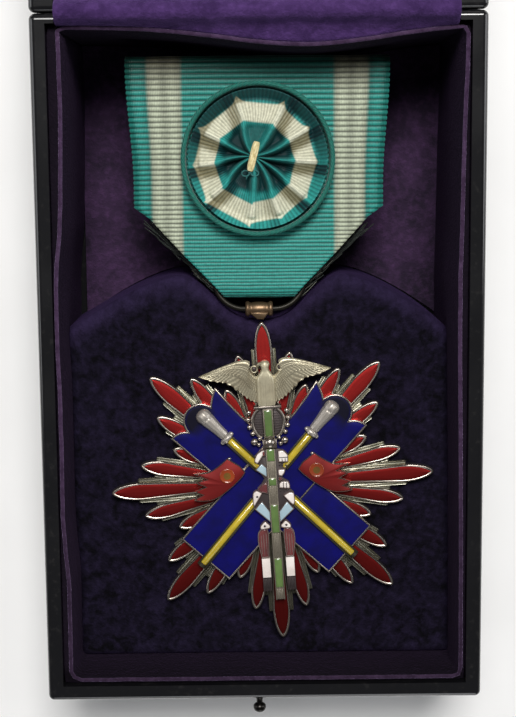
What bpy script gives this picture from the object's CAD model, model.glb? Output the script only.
import math

import bmesh
import bpy
import numpy as np
from bpy.props import FloatProperty, FloatVectorProperty, IntProperty, PointerProperty
from mathutils import Matrix, Vector, noise


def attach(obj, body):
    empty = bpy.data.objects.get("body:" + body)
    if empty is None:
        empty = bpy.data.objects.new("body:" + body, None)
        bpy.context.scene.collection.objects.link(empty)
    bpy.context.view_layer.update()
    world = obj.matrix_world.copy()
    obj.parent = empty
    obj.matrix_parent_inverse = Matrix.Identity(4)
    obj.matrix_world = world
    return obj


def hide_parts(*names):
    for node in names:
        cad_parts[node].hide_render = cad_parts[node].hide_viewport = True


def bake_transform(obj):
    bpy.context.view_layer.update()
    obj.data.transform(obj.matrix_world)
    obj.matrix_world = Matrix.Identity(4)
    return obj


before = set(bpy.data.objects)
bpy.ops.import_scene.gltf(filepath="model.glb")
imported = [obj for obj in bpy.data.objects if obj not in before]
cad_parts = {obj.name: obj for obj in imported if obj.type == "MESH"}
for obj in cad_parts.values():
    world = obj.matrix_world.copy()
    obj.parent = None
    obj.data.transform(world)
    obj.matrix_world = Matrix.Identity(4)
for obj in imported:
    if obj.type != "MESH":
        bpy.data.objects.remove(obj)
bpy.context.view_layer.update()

bl_info = {
    "name": "Order medal in its case",
    "version": (1, 0, 0),
    "blender": (4, 5, 0),
    "location": "3D View > Sidebar > Medal",
    "description": "Builds the enamelled badge, its ribbon and rosette and the velvet-lined case",
    "category": "Add Mesh",
}

# Every length below is in millimetres until a mesh is written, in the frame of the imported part.
MM = 0.001
BED_Z = 19.5
HINGE_Y = 46.25


def moved(x, y, z):
    return Matrix.Translation((x, y, z))


def turned_by(degrees, axis="Z"):
    return Matrix.Rotation(math.radians(degrees), 4, axis)


BADGE_PLACE = moved(1.4, -17.4, BED_Z + 0.05) @ turned_by(3.5)
RIBBON_PLACE = moved(-0.2, 8.2, 18.6) @ turned_by(-2.4, "X") @ moved(0, -8.2, 0)
ROSETTE_PLACE = RIBBON_PLACE @ moved(-0.05, 27.2, 1.85)


def span(first, last, count):
    """count + 1 evenly spaced numbers from first to last."""
    return [first + (last - first) * i / count for i in range(count + 1)]


def smooth(x):
    """Eases from 0 to 1."""
    x = min(1.0, max(0.0, x))
    return x * x * (3 - 2 * x)


def read_off(table, x):
    """Value at x in a table of (x, value) rows, along straight lines."""
    for (a, p), (b, q) in zip(table, table[1:]):
        if x <= b:
            return p + (q - p) * max(0.0, x - a) / (b - a)
    return table[-1][1]


def noise_at(x, y, z=0.0):
    return noise.noise(Vector((x, y, z)))


def circle(count):
    """Evenly spaced angles round a whole turn."""
    return [2 * math.pi * k / count for k in range(count)]


def box(x0, y0, x1, y1):
    """Corners of a rectangle."""
    return [(x0, y0), (x1, y0), (x1, y1), (x0, y1)]


def arc(x, y, wide, tall, start, end, count):
    """Points of a round or oval arc between two angles in degrees."""
    return [(x + wide * math.cos(a), y + tall * math.sin(a))
            for a in span(math.radians(start), math.radians(end), count)]


# Settings

def colour(name, words, value):
    return FloatVectorProperty(name=name, description=words, default=value,
                               subtype="COLOR", size=3, min=0, max=1)


def length(name, words, millimetres):
    return FloatProperty(name=name, description=words, default=millimetres * MM,
                         unit="LENGTH", precision=5)


def power(name, words, watts):
    return FloatProperty(name=name, description=words, default=watts, unit="POWER")


def number(name, words, value, least):
    return IntProperty(name=name, description=words, default=value, min=least)


class CaseLooks(bpy.types.PropertyGroup):
    lacquer: colour("Lacquer", "Colour of the lacquered wood", (0.006, 0.006, 0.007))
    bed: colour("Bed velvet", "Colour of the velvet that the badge lies on", (0.001, 0.0007, 0.002))
    wall: colour("Wall velvet", "Colour of the velvet on the walls and in the well", (0.006, 0.004, 0.008))
    lid: colour("Lid velvet", "Colour of the velvet over the hinge and in the lid", (0.032, 0.014, 0.065))
    nap: length("Nap", "Size of the unevenness in the pile", 0.28)
    edge_roll: length("Edge roll", "Radius of the bed's rolled edge along the well", 1.5)


class RibbonLooks(bpy.types.PropertyGroup):
    teal: colour("Teal", "Colour of the ribbon's ground", (0.03, 0.33, 0.28))
    cream: colour("Cream", "Colour of the two stripes", (0.54, 0.6, 0.445))
    rib: length("Rib pitch", "Distance between the ribs across the ribbon's upper part", 0.725)
    rib_height: length("Rib height", "Height of a rib above its groove", 0.2)
    stripe_in: length("Stripe inside", "Distance of a stripe's inner edge from the middle", 10.4)
    stripe_out: length("Stripe outside", "Distance of a stripe's outer edge from the middle", 15.1)
    strands: number("Frayed strands", "Loose strands along each slanted edge", 70, 0)


class BadgeLooks(bpy.types.PropertyGroup):
    silver: colour("Silver", "Colour of the badge's metal", (0.45, 0.4, 0.35))
    gilt: colour("Worn gilt", "Colour of the bird", (0.46, 0.42, 0.3))
    red: colour("Red enamel", "Colour of the rays and banners", (0.36, 0.022, 0.02))
    blue: colour("Blue enamel", "Colour of the shields", (0.003, 0.0025, 0.11))
    yellow: colour("Yellow enamel", "Colour of the staffs' shafts", (0.56, 0.42, 0.035))
    green: colour("Green enamel", "Colour of the sword's panels", (0.12, 0.2, 0.06))
    border: length("Border", "Width of the metal round each enamel field", 0.26)
    rays: number("Main rays", "Number of main rays round the star", 8, 3)


class StageLooks(bpy.types.PropertyGroup):
    floor: colour("Floor", "Colour of the table", (0.88, 0.88, 0.88))
    key: power("Key light", "Power of the main light", 11.0)
    fill: power("Fill light", "Power of the low lights at the sides and in front", 2.2)
    sky: FloatProperty(name="Sky", description="Strength of the even light from all round", default=0.07)


class MedalLooks(bpy.types.PropertyGroup):
    case: PointerProperty(type=CaseLooks)
    ribbon: PointerProperty(type=RibbonLooks)
    badge: PointerProperty(type=BadgeLooks)
    stage: PointerProperty(type=StageLooks)


def looks():
    return bpy.context.scene.medal_looks


# Shapes

class Shape:
    """Points in millimetres with a (u, v) each, and faces with a material number each."""

    def __init__(self):
        self.points, self.uv, self.faces, self.kinds = [], [], [], []

    def add(self, points, faces, uv=None, kind=0, place=None):
        base = len(self.points)
        if place is not None:
            points = [tuple(place @ Vector(p)) for p in points]
        self.points += [tuple(p) for p in points]
        self.uv += [tuple(c) for c in uv] if uv is not None else [(p[0] / 10, p[1] / 10) for p in points]
        self.faces += [tuple(base + i for i in f) for f in faces]
        self.kinds += [kind] * len(faces)
        return self

    def join(self, other, place=None, kind=None):
        """Adds another shape, placed by a matrix, with all its faces of one kind if that is given."""
        start = len(self.kinds)
        self.add(other.points, other.faces, other.uv, 0, place)
        self.kinds[start:] = other.kinds if kind is None else [kind] * len(other.faces)
        return self


def loft(rings, caps=True, closed=True):
    """Skin over rings of equal length; closed joins each ring's ends, caps closes both ends."""
    n = len(rings[0])
    faces = []
    for k in range(len(rings) - 1):
        for i in range(n if closed else n - 1):
            j = (i + 1) % n
            faces.append((k * n + i, k * n + j, (k + 1) * n + j, (k + 1) * n + i))
    if caps:
        faces.append(tuple(range(n - 1, -1, -1)))
        faces.append(tuple(range((len(rings) - 1) * n, len(rings) * n)))
    return [p for ring in rings for p in ring], faces


def ccw(outline):
    area = sum(a[0] * b[1] - b[0] * a[1] for a, b in zip(outline, outline[1:] + outline[:1]))
    return outline if area > 0 else outline[::-1]


def within(q, outline):
    """Which of the points q lie inside a closed outline."""
    a, b = outline, np.roll(outline, -1, 0)
    y = q[:, 1:2]
    crosses = (a[:, 1] > y) != (b[:, 1] > y)
    rise = np.where(a[:, 1] == b[:, 1], 1.0, b[:, 1] - a[:, 1])
    at = a[:, 0] + (y - a[:, 1]) / rise * (b[:, 0] - a[:, 0])
    return (crosses & (q[:, :1] < at)).sum(1) % 2 == 1


def inset(outline, distance):
    """A counter-clockwise outline moved inwards; each point is pushed off every edge to keep horns clean."""
    p = np.array(outline, float)
    edge = np.roll(p, -1, 0) - p
    long = np.maximum((edge ** 2).sum(1), 1e-12)
    inward = np.stack([-edge[:, 1], edge[:, 0]], 1) / np.sqrt(long)[:, None]
    both = inward + np.roll(inward, 1, 0)
    q = p + distance * both / np.maximum(0.35, (both ** 2).sum(1) / 2)[:, None]
    rows = np.arange(len(p))
    for _ in range(14):
        reach = q[:, None] - p[None]
        share = np.clip((reach * edge).sum(2) / long, 0, 1)
        away = reach - share[..., None] * edge
        far = np.linalg.norm(away, axis=2)
        nearest = far.argmin(1)
        gap = far[rows, nearest]
        side = np.where(within(q, p), 1.0, -1.0)
        push = away[rows, nearest] * (side / np.maximum(gap, 1e-7))[:, None]
        push = np.where(gap[:, None] > 1e-7, push, inward[nearest])
        short = np.maximum(0.0, distance - side * gap)
        q = q + push * (0.65 * short)[:, None]
    return [tuple(c) for c in q]


def stepped(ring_at, steps):
    """Closed solid from (inset, height) steps, where ring_at(inset) gives the outline."""
    return loft([[(x, y, z) for x, y in ring_at(d)] for d, z in steps])


def shrunk(outline):
    """An outline as stepped wants it."""
    outline = ccw(outline)
    return lambda d: inset(outline, d) if d else outline


def plate(outline, low, high, edge=0.06):
    """Flat plate with a softened upper edge."""
    steps = [(0, low), (0, high - edge), (edge * 0.3, high - edge * 0.3), (edge, high)]
    return stepped(shrunk(outline), steps)


def tray(outline, wall, low, floor, high):
    """Plate with a rounded raised border and a sunk floor."""
    return stepped(shrunk(outline), border_steps(wall, low, floor, high))


def border_steps(wall, low, floor, high):
    shares = [(0.12, high - 0.05), (0.36, high), (0.66, high), (0.92, high - 0.05), (1.0, high - 0.14)]
    return [(0, low), (0, high - 0.14), *[(wall * share, z) for share, z in shares], (wall, floor)]


def cushion(outline, low, high, crown, reach=0.5):
    """Enamel field: its surface rises from the edge to a low crown with a level top."""
    rise = [(reach * t, high + crown * math.sin(math.pi / 2 * t)) for t in (0.3, 0.65, 1)]
    return stepped(shrunk(outline), [(0, low), (0, high)] + rise)


def bent(a, middle, b, count):
    """Points of a curve from a towards b, pulled towards middle, without b itself."""
    out = []
    for i in range(count):
        t = i / count
        out.append(tuple((1 - t) ** 2 * a[k] + 2 * t * (1 - t) * middle[k] + t * t * b[k] for k in (0, 1)))
    return out


def rounded(points, share=0.3, count=4):
    """Closed outline with its corners rounded; a point with a third value stays sharp."""
    out = []
    for i, p in enumerate(points):
        if len(p) > 2:
            out.append(tuple(p[:2]))
            continue
        before, after = points[i - 1], points[(i + 1) % len(points)]
        start = tuple(p[k] + (before[k] - p[k]) * share for k in (0, 1))
        end = tuple(p[k] + (after[k] - p[k]) * share for k in (0, 1))
        out += bent(start, p, end, count) + [end]
    return out


def turned(profile, steps=24, sweep=2 * math.pi, flutes=0, depth=0.0):
    """Profile of (along, radius) pairs turned about X. A sweep of pi gives the upper half, flat below."""
    count = steps if sweep > math.pi else steps + 1
    rings = []
    for s, r in profile:
        ring = []
        for i in range(count):
            a = sweep * i / steps
            q = r * (1 - depth * (0.5 - 0.5 * math.cos(flutes * a)) if flutes else 1)
            ring.append((s, q * math.cos(a), q * math.sin(a)))
        rings.append(ring)
    return loft(rings)


def swept(path, radius, sides=8, closed=False):
    """Round wire along a path of points; radius may be one number or one for each point."""
    pts = [Vector(p) for p in path]
    n, rings, side = len(pts), [], None
    for i, p in enumerate(pts):
        a = pts[(i - 1) % n] if closed or i else p
        b = pts[(i + 1) % n] if closed or i < n - 1 else p
        t = (b - a).normalized()
        if side is None:
            side = t.orthogonal().normalized()
        side = (side - t * side.dot(t)).normalized()
        up = t.cross(side)
        r = radius if isinstance(radius, (int, float)) else radius[i]
        rings.append([tuple(p + (side * math.cos(c) + up * math.sin(c)) * r) for c in circle(sides)])
    if not closed:
        return loft(rings)
    points, faces = loft(rings, caps=False)
    last = (n - 1) * sides
    # The frame may come round turned, so the seam joins each point to its nearest partner
    turn = min(range(sides), key=lambda k: (Vector(rings[0][k]) - Vector(rings[-1][0])).length)
    for k in range(sides):
        j = (k + 1) % sides
        faces.append((last + k, last + j, (j + turn) % sides, (k + turn) % sides))
    return points, faces


def ball(centre, radius, rows=8, cols=12, squash=1.0):
    x, y, z = centre
    rings = []
    for i in range(1, rows):
        a = math.pi * i / rows
        r, high = radius * math.sin(a), z - radius * squash * math.cos(a)
        rings.append([(x + r * math.cos(b), y + r * math.sin(b), high) for b in circle(cols)])
    return loft(rings)


def grid_faces(rows, cols):
    """Faces over a grid of rows by cols points, counter-clockwise where columns run right and rows up."""
    r, c = np.meshgrid(np.arange(rows - 1), np.arange(cols - 1), indexing="ij")
    a = (r * cols + c).ravel()
    return np.stack([a, a + 1, a + cols + 1, a + cols], 1).tolist()


def slab(top, bottom):
    """Closed solid between two grids of points, each given as rows of equal length, seen from above."""
    rows, cols = len(top), len(top[0])
    count = rows * cols
    points = [p for row in top for p in row] + [p for row in bottom for p in row]
    upper = grid_faces(rows, cols)
    faces = upper + [[count + i for i in reversed(f)] for f in upper]
    last = (rows - 1) * cols
    rim = [*range(cols)] + [r * cols + cols - 1 for r in range(1, rows)]
    rim += [last + c for c in range(cols - 2, -1, -1)] + [r * cols for r in range(rows - 2, 0, -1)]
    for a, b in zip(rim, rim[1:] + rim[:1]):
        faces.append([b, a, count + a, count + b])
    return points, faces


def panel(across, along, at):
    """Closed solid over a grid of places, where at gives the upper and the lower point of each."""
    grid = [[at(u, v) for u in across] for v in along]
    return slab(*[[[both[k] for both in row] for row in grid] for k in (0, 1)])


def linked(name, data):
    """A new object in the scene."""
    ob = bpy.data.objects.new(name, data)
    bpy.context.scene.collection.objects.link(ob)
    return ob


def write(shape, name, *finishes, place=None, sharp=None, merge=True):
    """Makes a mesh object in metres with outward faces; edges bent more than sharp degrees stay crisp."""
    mesh = bpy.data.meshes.new(name)
    points = shape.points if place is None else [place @ Vector(p) for p in shape.points]
    mesh.from_pydata([(p[0] * MM, p[1] * MM, p[2] * MM) for p in points], [], shape.faces)
    layer = mesh.uv_layers.new(name="UVMap")
    index = np.empty(len(mesh.loops), np.int32)
    mesh.loops.foreach_get("vertex_index", index)
    layer.data.foreach_set("uv", np.array(shape.uv, np.float32)[index].ravel())
    mesh.polygons.foreach_set("material_index", np.array(shape.kinds, np.int32))
    for word in finishes:
        mesh.materials.append(finish_of(word))
    bm = bmesh.new()
    bm.from_mesh(mesh)
    if merge:
        bmesh.ops.remove_doubles(bm, verts=bm.verts, dist=1e-7)
    bmesh.ops.recalc_face_normals(bm, faces=bm.faces)
    if bm.calc_volume(signed=True) < 0:
        bmesh.ops.reverse_faces(bm, faces=bm.faces)
    for f in bm.faces:
        f.smooth = True
    if sharp is not None:
        limit = math.radians(sharp)
        for e in bm.edges:
            if len(e.link_faces) == 2 and e.calc_face_angle(0) > limit:
                e.smooth = False
    bm.to_mesh(mesh)
    bm.free()
    return linked(name, mesh)


def settle(ob, slot, *nodes, body="case"):
    """Names what a finished piece rides on, stands for and takes its finish from."""
    if body:
        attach(ob, body)
    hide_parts(*nodes)
    return ob


def solidified(ob):
    """Turns an object's modifiers into a plain mesh."""
    depsgraph = bpy.context.evaluated_depsgraph_get()
    mesh = bpy.data.meshes.new_from_object(ob.evaluated_get(depsgraph))
    ob.modifiers.clear()
    old, ob.data = ob.data, mesh
    bpy.data.meshes.remove(old)
    return ob


# Geometry Nodes trees

def node_tree(name, inputs):
    tree = bpy.data.node_groups.new(name, "GeometryNodeTree")
    face = tree.interface
    face.new_socket("Geometry", in_out="INPUT", socket_type="NodeSocketGeometry")
    for label, kind, value in inputs:
        socket = face.new_socket(label, in_out="INPUT", socket_type="NodeSocket" + kind)
        if value is not None:
            socket.default_value = value
    face.new_socket("Geometry", in_out="OUTPUT", socket_type="NodeSocketGeometry")
    return tree, tree.nodes.new("NodeGroupInput"), tree.nodes.new("NodeGroupOutput")


def feed(tree, socket, source):
    """Links a source socket into a socket, or sets a plain value on it."""
    if isinstance(source, bpy.types.NodeSocket):
        tree.links.new(source, socket)
    else:
        socket.default_value = source


def add(tree, kind, *sources, **values):
    """Adds a node, sets its attributes and feeds its inputs in order; None leaves an input alone."""
    node = tree.nodes.new(kind)
    for key, value in values.items():
        setattr(node, key, value)
    live = [s for s in node.inputs if s.enabled]
    for socket, source in zip(live, sources):
        if source is not None:
            feed(tree, socket, source)
    return node


def wire(tree, node, sources):
    """Feeds a node's inputs, given by their names or numbers."""
    for label, source in sources.items():
        feed(tree, node.inputs[label], source)
    return node


def fed(tree, kind, sources, **values):
    return wire(tree, add(tree, kind, **values), sources)


def planted(tree, start, end, points, shape, smoothed=False, **turns):
    """Ends a tree with copies of a shape on points, made real and given the tree's material."""
    last = fed(tree, "GeometryNodeInstanceOnPoints", {"Points": points, "Instance": shape, **turns})
    last = add(tree, "GeometryNodeRealizeInstances", last.outputs[0])
    if smoothed:
        last = add(tree, "GeometryNodeSetShadeSmooth", last.outputs[0])
    last = fed(tree, "GeometryNodeSetMaterial",
               {"Geometry": last.outputs[0], "Material": start.outputs["Material"]})
    tree.links.new(last.outputs[0], end.inputs[0])
    return tree


def around_tree():
    """Repeats the geometry round Z: Count copies, one every Step from First."""
    tree, start, end = node_tree("Around the centre", [
        ("Count", "Int", 8), ("Step", "Float", math.radians(45)), ("First", "Float", 0.0),
        ("Material", "Material", None)])
    given = start.outputs
    points = add(tree, "GeometryNodePoints", given["Count"])
    index = add(tree, "GeometryNodeInputIndex").outputs[0]
    turn = add(tree, "ShaderNodeMath", index, given["Step"], given["First"], operation="MULTIPLY_ADD")
    angles = add(tree, "ShaderNodeCombineXYZ", None, None, turn.outputs[0])
    euler = add(tree, "FunctionNodeEulerToRotation", angles.outputs[0])
    return planted(tree, start, end, points.outputs[0], given["Geometry"], Rotation=euler.outputs[0])


def strand_tree():
    """Loose strands on a line of points: short bent tubes, turned and scaled at random from a fixed seed."""
    tree, start, end = node_tree("Loose strands", [
        ("Length", "Float", 0.0012), ("Thickness", "Float", 0.00004), ("Seed", "Int", 3),
        ("Material", "Material", None)])
    given = start.outputs
    line = fed(tree, "GeometryNodeCurveQuadraticBezier",
               {"Resolution": 5, "Start": (0, 0, 0), "Middle": (0.5, 0, 0.12), "End": (1, 0, -0.1)})
    size = add(tree, "ShaderNodeCombineXYZ", *[given["Length"]] * 3)
    grown = fed(tree, "GeometryNodeTransform", {"Geometry": line.outputs[0], "Scale": size.outputs[0]})
    ring = fed(tree, "GeometryNodeCurvePrimitiveCircle", {"Resolution": 4, "Radius": given["Thickness"]})
    tube = add(tree, "GeometryNodeCurveToMesh", grown.outputs[0], ring.outputs[0])
    tube.inputs["Fill Caps"].default_value = True
    turns = {0: (-0.2, -0.12, -0.12), 1: (0.2, 0.06, 0.12), "Seed": given["Seed"]}
    turn = fed(tree, "FunctionNodeRandomValue", turns, data_type="FLOAT_VECTOR")
    size = fed(tree, "FunctionNodeRandomValue", {2: 0.45, 3: 1.25, "Seed": given["Seed"]}, data_type="FLOAT")
    facing = add(tree, "GeometryNodeInputNamedAttribute", "facing", data_type="FLOAT")
    spin = add(tree, "ShaderNodeCombineXYZ", None, None, facing.outputs[0])
    both = add(tree, "ShaderNodeVectorMath", turn.outputs[0], spin.outputs[0], operation="ADD")
    euler = add(tree, "FunctionNodeEulerToRotation", both.outputs[0])
    return planted(tree, start, end, given["Geometry"], tube.outputs[0],
                   Rotation=euler.outputs[0], Scale=size.outputs[1])


def bead_tree():
    """Beads along a line of points, each of the size in the attribute size."""
    tree, start, end = node_tree("Beads", [("Material", "Material", None)])
    bead = fed(tree, "GeometryNodeMeshIcoSphere", {"Radius": 1.0, "Subdivisions": 3})
    size = add(tree, "GeometryNodeInputNamedAttribute", "size", data_type="FLOAT")
    return planted(tree, start, end, start.outputs["Geometry"], bead.outputs[0], True, Scale=size.outputs[0])


def grow(ob, tree, **values):
    """Runs a tree on an object with named input values and keeps the result as a plain mesh."""
    modifier = ob.modifiers.new(tree.name, "NODES")
    modifier.node_group = tree
    for item in tree.interface.items_tree:
        if item.in_out == "INPUT" and item.name in values:
            modifier[item.identifier] = values[item.name]
    return solidified(ob)


def point_object(name, points, **attributes):
    """Loose points in metres with one float attribute each, for a tree to work on."""
    mesh = bpy.data.meshes.new(name)
    mesh.from_pydata(points, [], [])
    for label, numbers in attributes.items():
        mesh.attributes.new(label, "FLOAT", "POINT").data.foreach_set("value", numbers)
    return linked(name, mesh)


# Materials

def shader_group(name, inputs, outputs):
    """A group of shader nodes whose inputs and outputs are numbers."""
    tree = bpy.data.node_groups.new(name, "ShaderNodeTree")
    for label, value in inputs.items():
        socket = tree.interface.new_socket(label, in_out="INPUT", socket_type="NodeSocketFloat")
        socket.default_value = value
    for label in outputs:
        tree.interface.new_socket(label, in_out="OUTPUT", socket_type="NodeSocketFloat")
    return tree, tree.nodes.new("NodeGroupInput"), tree.nodes.new("NodeGroupOutput")


def maths(tree, operation, *sources, clamp=False):
    return add(tree, "ShaderNodeMath", *sources, operation=operation, use_clamp=clamp).outputs[0]


def coordinates(tree, kind="Object"):
    return add(tree, "ShaderNodeTexCoord").outputs[kind]


def axes(tree, place):
    return add(tree, "ShaderNodeSeparateXYZ", place).outputs


def grey(tree, value):
    return add(tree, "ShaderNodeCombineColor", value, value, value).outputs[0]


def speckle(tree, place, scale, detail=2.0, rough=0.5, distortion=0.0):
    sources = {"Vector": place, "Scale": scale, "Detail": detail, "Roughness": rough,
               "Distortion": distortion}
    return fed(tree, "ShaderNodeTexNoise", sources).outputs["Fac"]


def ranged(tree, source, low, high, to_low=0.0, to_high=1.0):
    sources = {"Value": source, "From Min": low, "From Max": high, "To Min": to_low, "To Max": to_high}
    return fed(tree, "ShaderNodeMapRange", sources).outputs[0]


def mixed(tree, factor, a, b, blend="MIX"):
    node = add(tree, "ShaderNodeMix", data_type="RGBA", blend_type=blend)
    for label, source in ((0, factor), (6, a), (7, b)):
        ready = isinstance(source, (bpy.types.NodeSocket, int, float))
        feed(tree, node.inputs[label], source if ready else (*source[:3], 1))
    return node.outputs[2]


def pile_group():
    """Velvet pile: brushed patches for the colour and fine tufts for the height."""
    tree, start, end = shader_group("Velvet pile", {"Patch": 260.0, "Tuft": 3200.0}, ["Brushed", "Height"])
    place = coordinates(tree)
    patch = speckle(tree, place, start.outputs["Patch"], 4.0, distortion=0.8)
    tuft = speckle(tree, place, start.outputs["Tuft"])
    fleck = speckle(tree, place, 1100.0, 3.0, 0.6)
    brushed = maths(tree, "ADD", ranged(tree, patch, 0.35, 0.7, 0.0, 0.6),
                    ranged(tree, fleck, 0.45, 0.72, 0.0, 0.5), clamp=True)
    wire(tree, end, {"Brushed": brushed, "Height": maths(tree, "ADD", tuft, fleck)})
    return tree


def tarnish_group():
    """Old metal: tarnish that gathers in hollows, and fine scratches for the height."""
    tree, start, end = shader_group("Tarnish", {"Amount": 0.5}, ["Tarnish", "Height"])
    place = coordinates(tree)
    hollow = ranged(tree, add(tree, "ShaderNodeNewGeometry").outputs["Pointiness"], 0.5, 0.42)
    blot = ranged(tree, speckle(tree, place, 420.0, 5.0, 0.6), 0.42, 0.68)
    both = maths(tree, "MAXIMUM", hollow, maths(tree, "MULTIPLY", blot, 0.55))
    wire(tree, end, {"Tarnish": maths(tree, "MULTIPLY", both, start.outputs["Amount"]),
                     "Height": speckle(tree, place, 5200.0, 3.0, 0.6)})
    return tree


def thread_group():
    """Silk thread: fine lines across one coordinate, with a slow change of shade."""
    tree, start, end = shader_group("Silk threads", {"Across": 0.0, "Per unit": 1.0}, ["Shade", "Height"])
    turn = maths(tree, "MULTIPLY", start.outputs["Across"], start.outputs["Per unit"])
    wave = maths(tree, "SINE", maths(tree, "MULTIPLY", turn, 2 * math.pi))
    fibre = speckle(tree, coordinates(tree), 2600.0, 3.0, 0.6)
    shade = maths(tree, "ADD", ranged(tree, wave, -1.0, 1.0, 0.8, 1.0),
                  ranged(tree, fibre, 0.3, 0.7, -0.16, 0.16))
    wire(tree, end, {"Shade": shade, "Height": maths(tree, "ADD", wave, fibre)})
    return tree


GROUPS = {}


def group(maker):
    """The node group of a maker, made once."""
    if maker not in GROUPS:
        GROUPS[maker] = maker()
    return GROUPS[maker]


def used(tree, maker, sources):
    return fed(tree, "ShaderNodeGroup", sources, node_tree=group(maker)).outputs


def blank(name, **plain):
    """A material with one Principled shader, whose plain values are set on its own sockets."""
    material = bpy.data.materials.new(name)
    material.use_nodes = True
    shader = material.node_tree.nodes["Principled BSDF"]
    for label, value in plain.items():
        plain_value = (*value, 1) if isinstance(value, tuple) else value
        shader.inputs[label.replace("_", " ")].default_value = plain_value
    return material, material.node_tree, shader


def surfaced(made, colour, height, strength, distance, rough=None):
    """Completes a blank material with its colour, fine relief and, where it varies, its roughness."""
    material, tree, shader = made
    relief = {"Strength": strength, "Distance": distance * MM, "Height": height}
    wire(tree, shader, {"Base Color": colour, "Normal": fed(tree, "ShaderNodeBump", relief).outputs[0]})
    if rough is not None:
        feed(tree, shader.inputs["Roughness"], rough)
    return material


def along_y(tree, front, rear, low, high):
    """A number that goes from low to high between two places along Y in millimetres."""
    return ranged(tree, axes(tree, coordinates(tree))[1], front * MM, rear * MM, low, high)


def toned_along(tree, colour, front, rear, low, high=1.0):
    """A colour times a number as of along_y."""
    return mixed(tree, 1.0, colour, grey(tree, along_y(tree, front, rear, low, high)), "MULTIPLY")


def velvet(name, base, lit, sheen, weight, patch, laid_back=None, rim=None):
    """Velvet. laid_back gives two places along Y and the share of colour that stays before the first,
    where the pile lies away from the light; rim is the colour of a brushed band where u is near nought."""
    made = blank(name, Roughness=0.9, Sheen_Weight=weight, Sheen_Roughness=0.45, Sheen_Tint=sheen,
                 Specular_IOR_Level=0.1)
    tree = made[1]
    pile = used(tree, pile_group, {"Patch": patch})
    colour = mixed(tree, pile["Brushed"], base, lit)
    if rim:
        band = ranged(tree, axes(tree, coordinates(tree, "UV"))[0], 0.02, 0.32, 0.8, 0.0)
        tuft = ranged(tree, pile["Brushed"], 0.0, 1.0, 0.55, 1.0)
        colour = mixed(tree, maths(tree, "MULTIPLY", band, tuft), colour, rim)
    if laid_back:
        colour = toned_along(tree, colour, *laid_back)
    return surfaced(made, colour, pile["Height"], 0.8, 0.2)


def lacquer(name):
    """Polished black with a little dust in its surface."""
    made = blank(name, Coat_Weight=1.0, Coat_Roughness=0.06, Specular_IOR_Level=0.15)
    tree = made[1]
    place = coordinates(tree)
    dust = ranged(tree, speckle(tree, place, 900.0, 6.0, 0.7), 0.56, 0.75)
    worn = ranged(tree, speckle(tree, place, 70.0, 4.0), 0.45, 0.75)
    colour = mixed(tree, maths(tree, "MULTIPLY", dust, 0.35), looks().case.lacquer, (0.05, 0.047, 0.045))
    return surfaced(made, colour, speckle(tree, place, 160.0, 3.0), 0.12, 0.2,
                    ranged(tree, worn, 0.0, 1.0, 0.28, 0.45))


def metal(name, base, dark, rough=0.28, amount=0.6, share=1.0):
    """Old metal with its tarnish; share is how far it counts as metal."""
    made = blank(name, Metallic=share)
    tree = made[1]
    tarnish = used(tree, tarnish_group, {"Amount": amount})
    return surfaced(made, mixed(tree, tarnish["Tarnish"], base, dark), tarnish["Height"], 0.25, 0.03,
                    ranged(tree, tarnish["Tarnish"], 0.0, 1.0, rough, rough + 0.25))


def enamel(name, base, deep, rough=0.22, coat=0.8, share=0.0, glint=0.5, streak=0.0, thinner=None,
           smoked=None):
    """Fired glass over engraved metal: deeper in places, with faint engraving along v where streak is set.
    thinner gives two places along Y and the tone at each, where the fired coat goes from thick to thin;
    smoked gives the middle and the radius, in UV, of a lobe whose upper part is nearly black."""
    made = blank(name, Metallic=share, Coat_Weight=coat, Coat_Roughness=0.06, Coat_IOR=1.5,
                 Specular_IOR_Level=glint)
    tree = made[1]
    place, flat = coordinates(tree), coordinates(tree, "UV")
    pool = ranged(tree, speckle(tree, place, 330.0, 4.0, 0.6), 0.35, 0.7)
    if streak:
        lines = maths(tree, "SINE", maths(tree, "MULTIPLY", axes(tree, flat)[0], streak))
        lines = ranged(tree, lines, -1.0, 1.0, 0.0, 0.3)
        pool = maths(tree, "ADD", maths(tree, "MULTIPLY", pool, 0.7), lines)
    glass = mixed(tree, pool, base, deep)
    if smoked:
        x, y, radius = smoked
        away = add(tree, "ShaderNodeVectorMath", flat, (x, y, 0.0), operation="DISTANCE")
        lobe = ranged(tree, away.outputs["Value"], radius * 0.75, radius * 1.12, 1.0, 0.0)
        upper = ranged(tree, axes(tree, flat)[1], y - 0.16, y + 0.02)
        glass = mixed(tree, maths(tree, "MULTIPLY", lobe, upper), glass, (0.004, 0.0035, 0.012))
    if thinner:
        glass = toned_along(tree, glass, *thinner)
    return surfaced(made, glass, speckle(tree, place, 900.0, 2.0), 0.15, 0.05,
                    ranged(tree, pool, 0.0, 1.0, rough, rough + 0.12))


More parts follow.
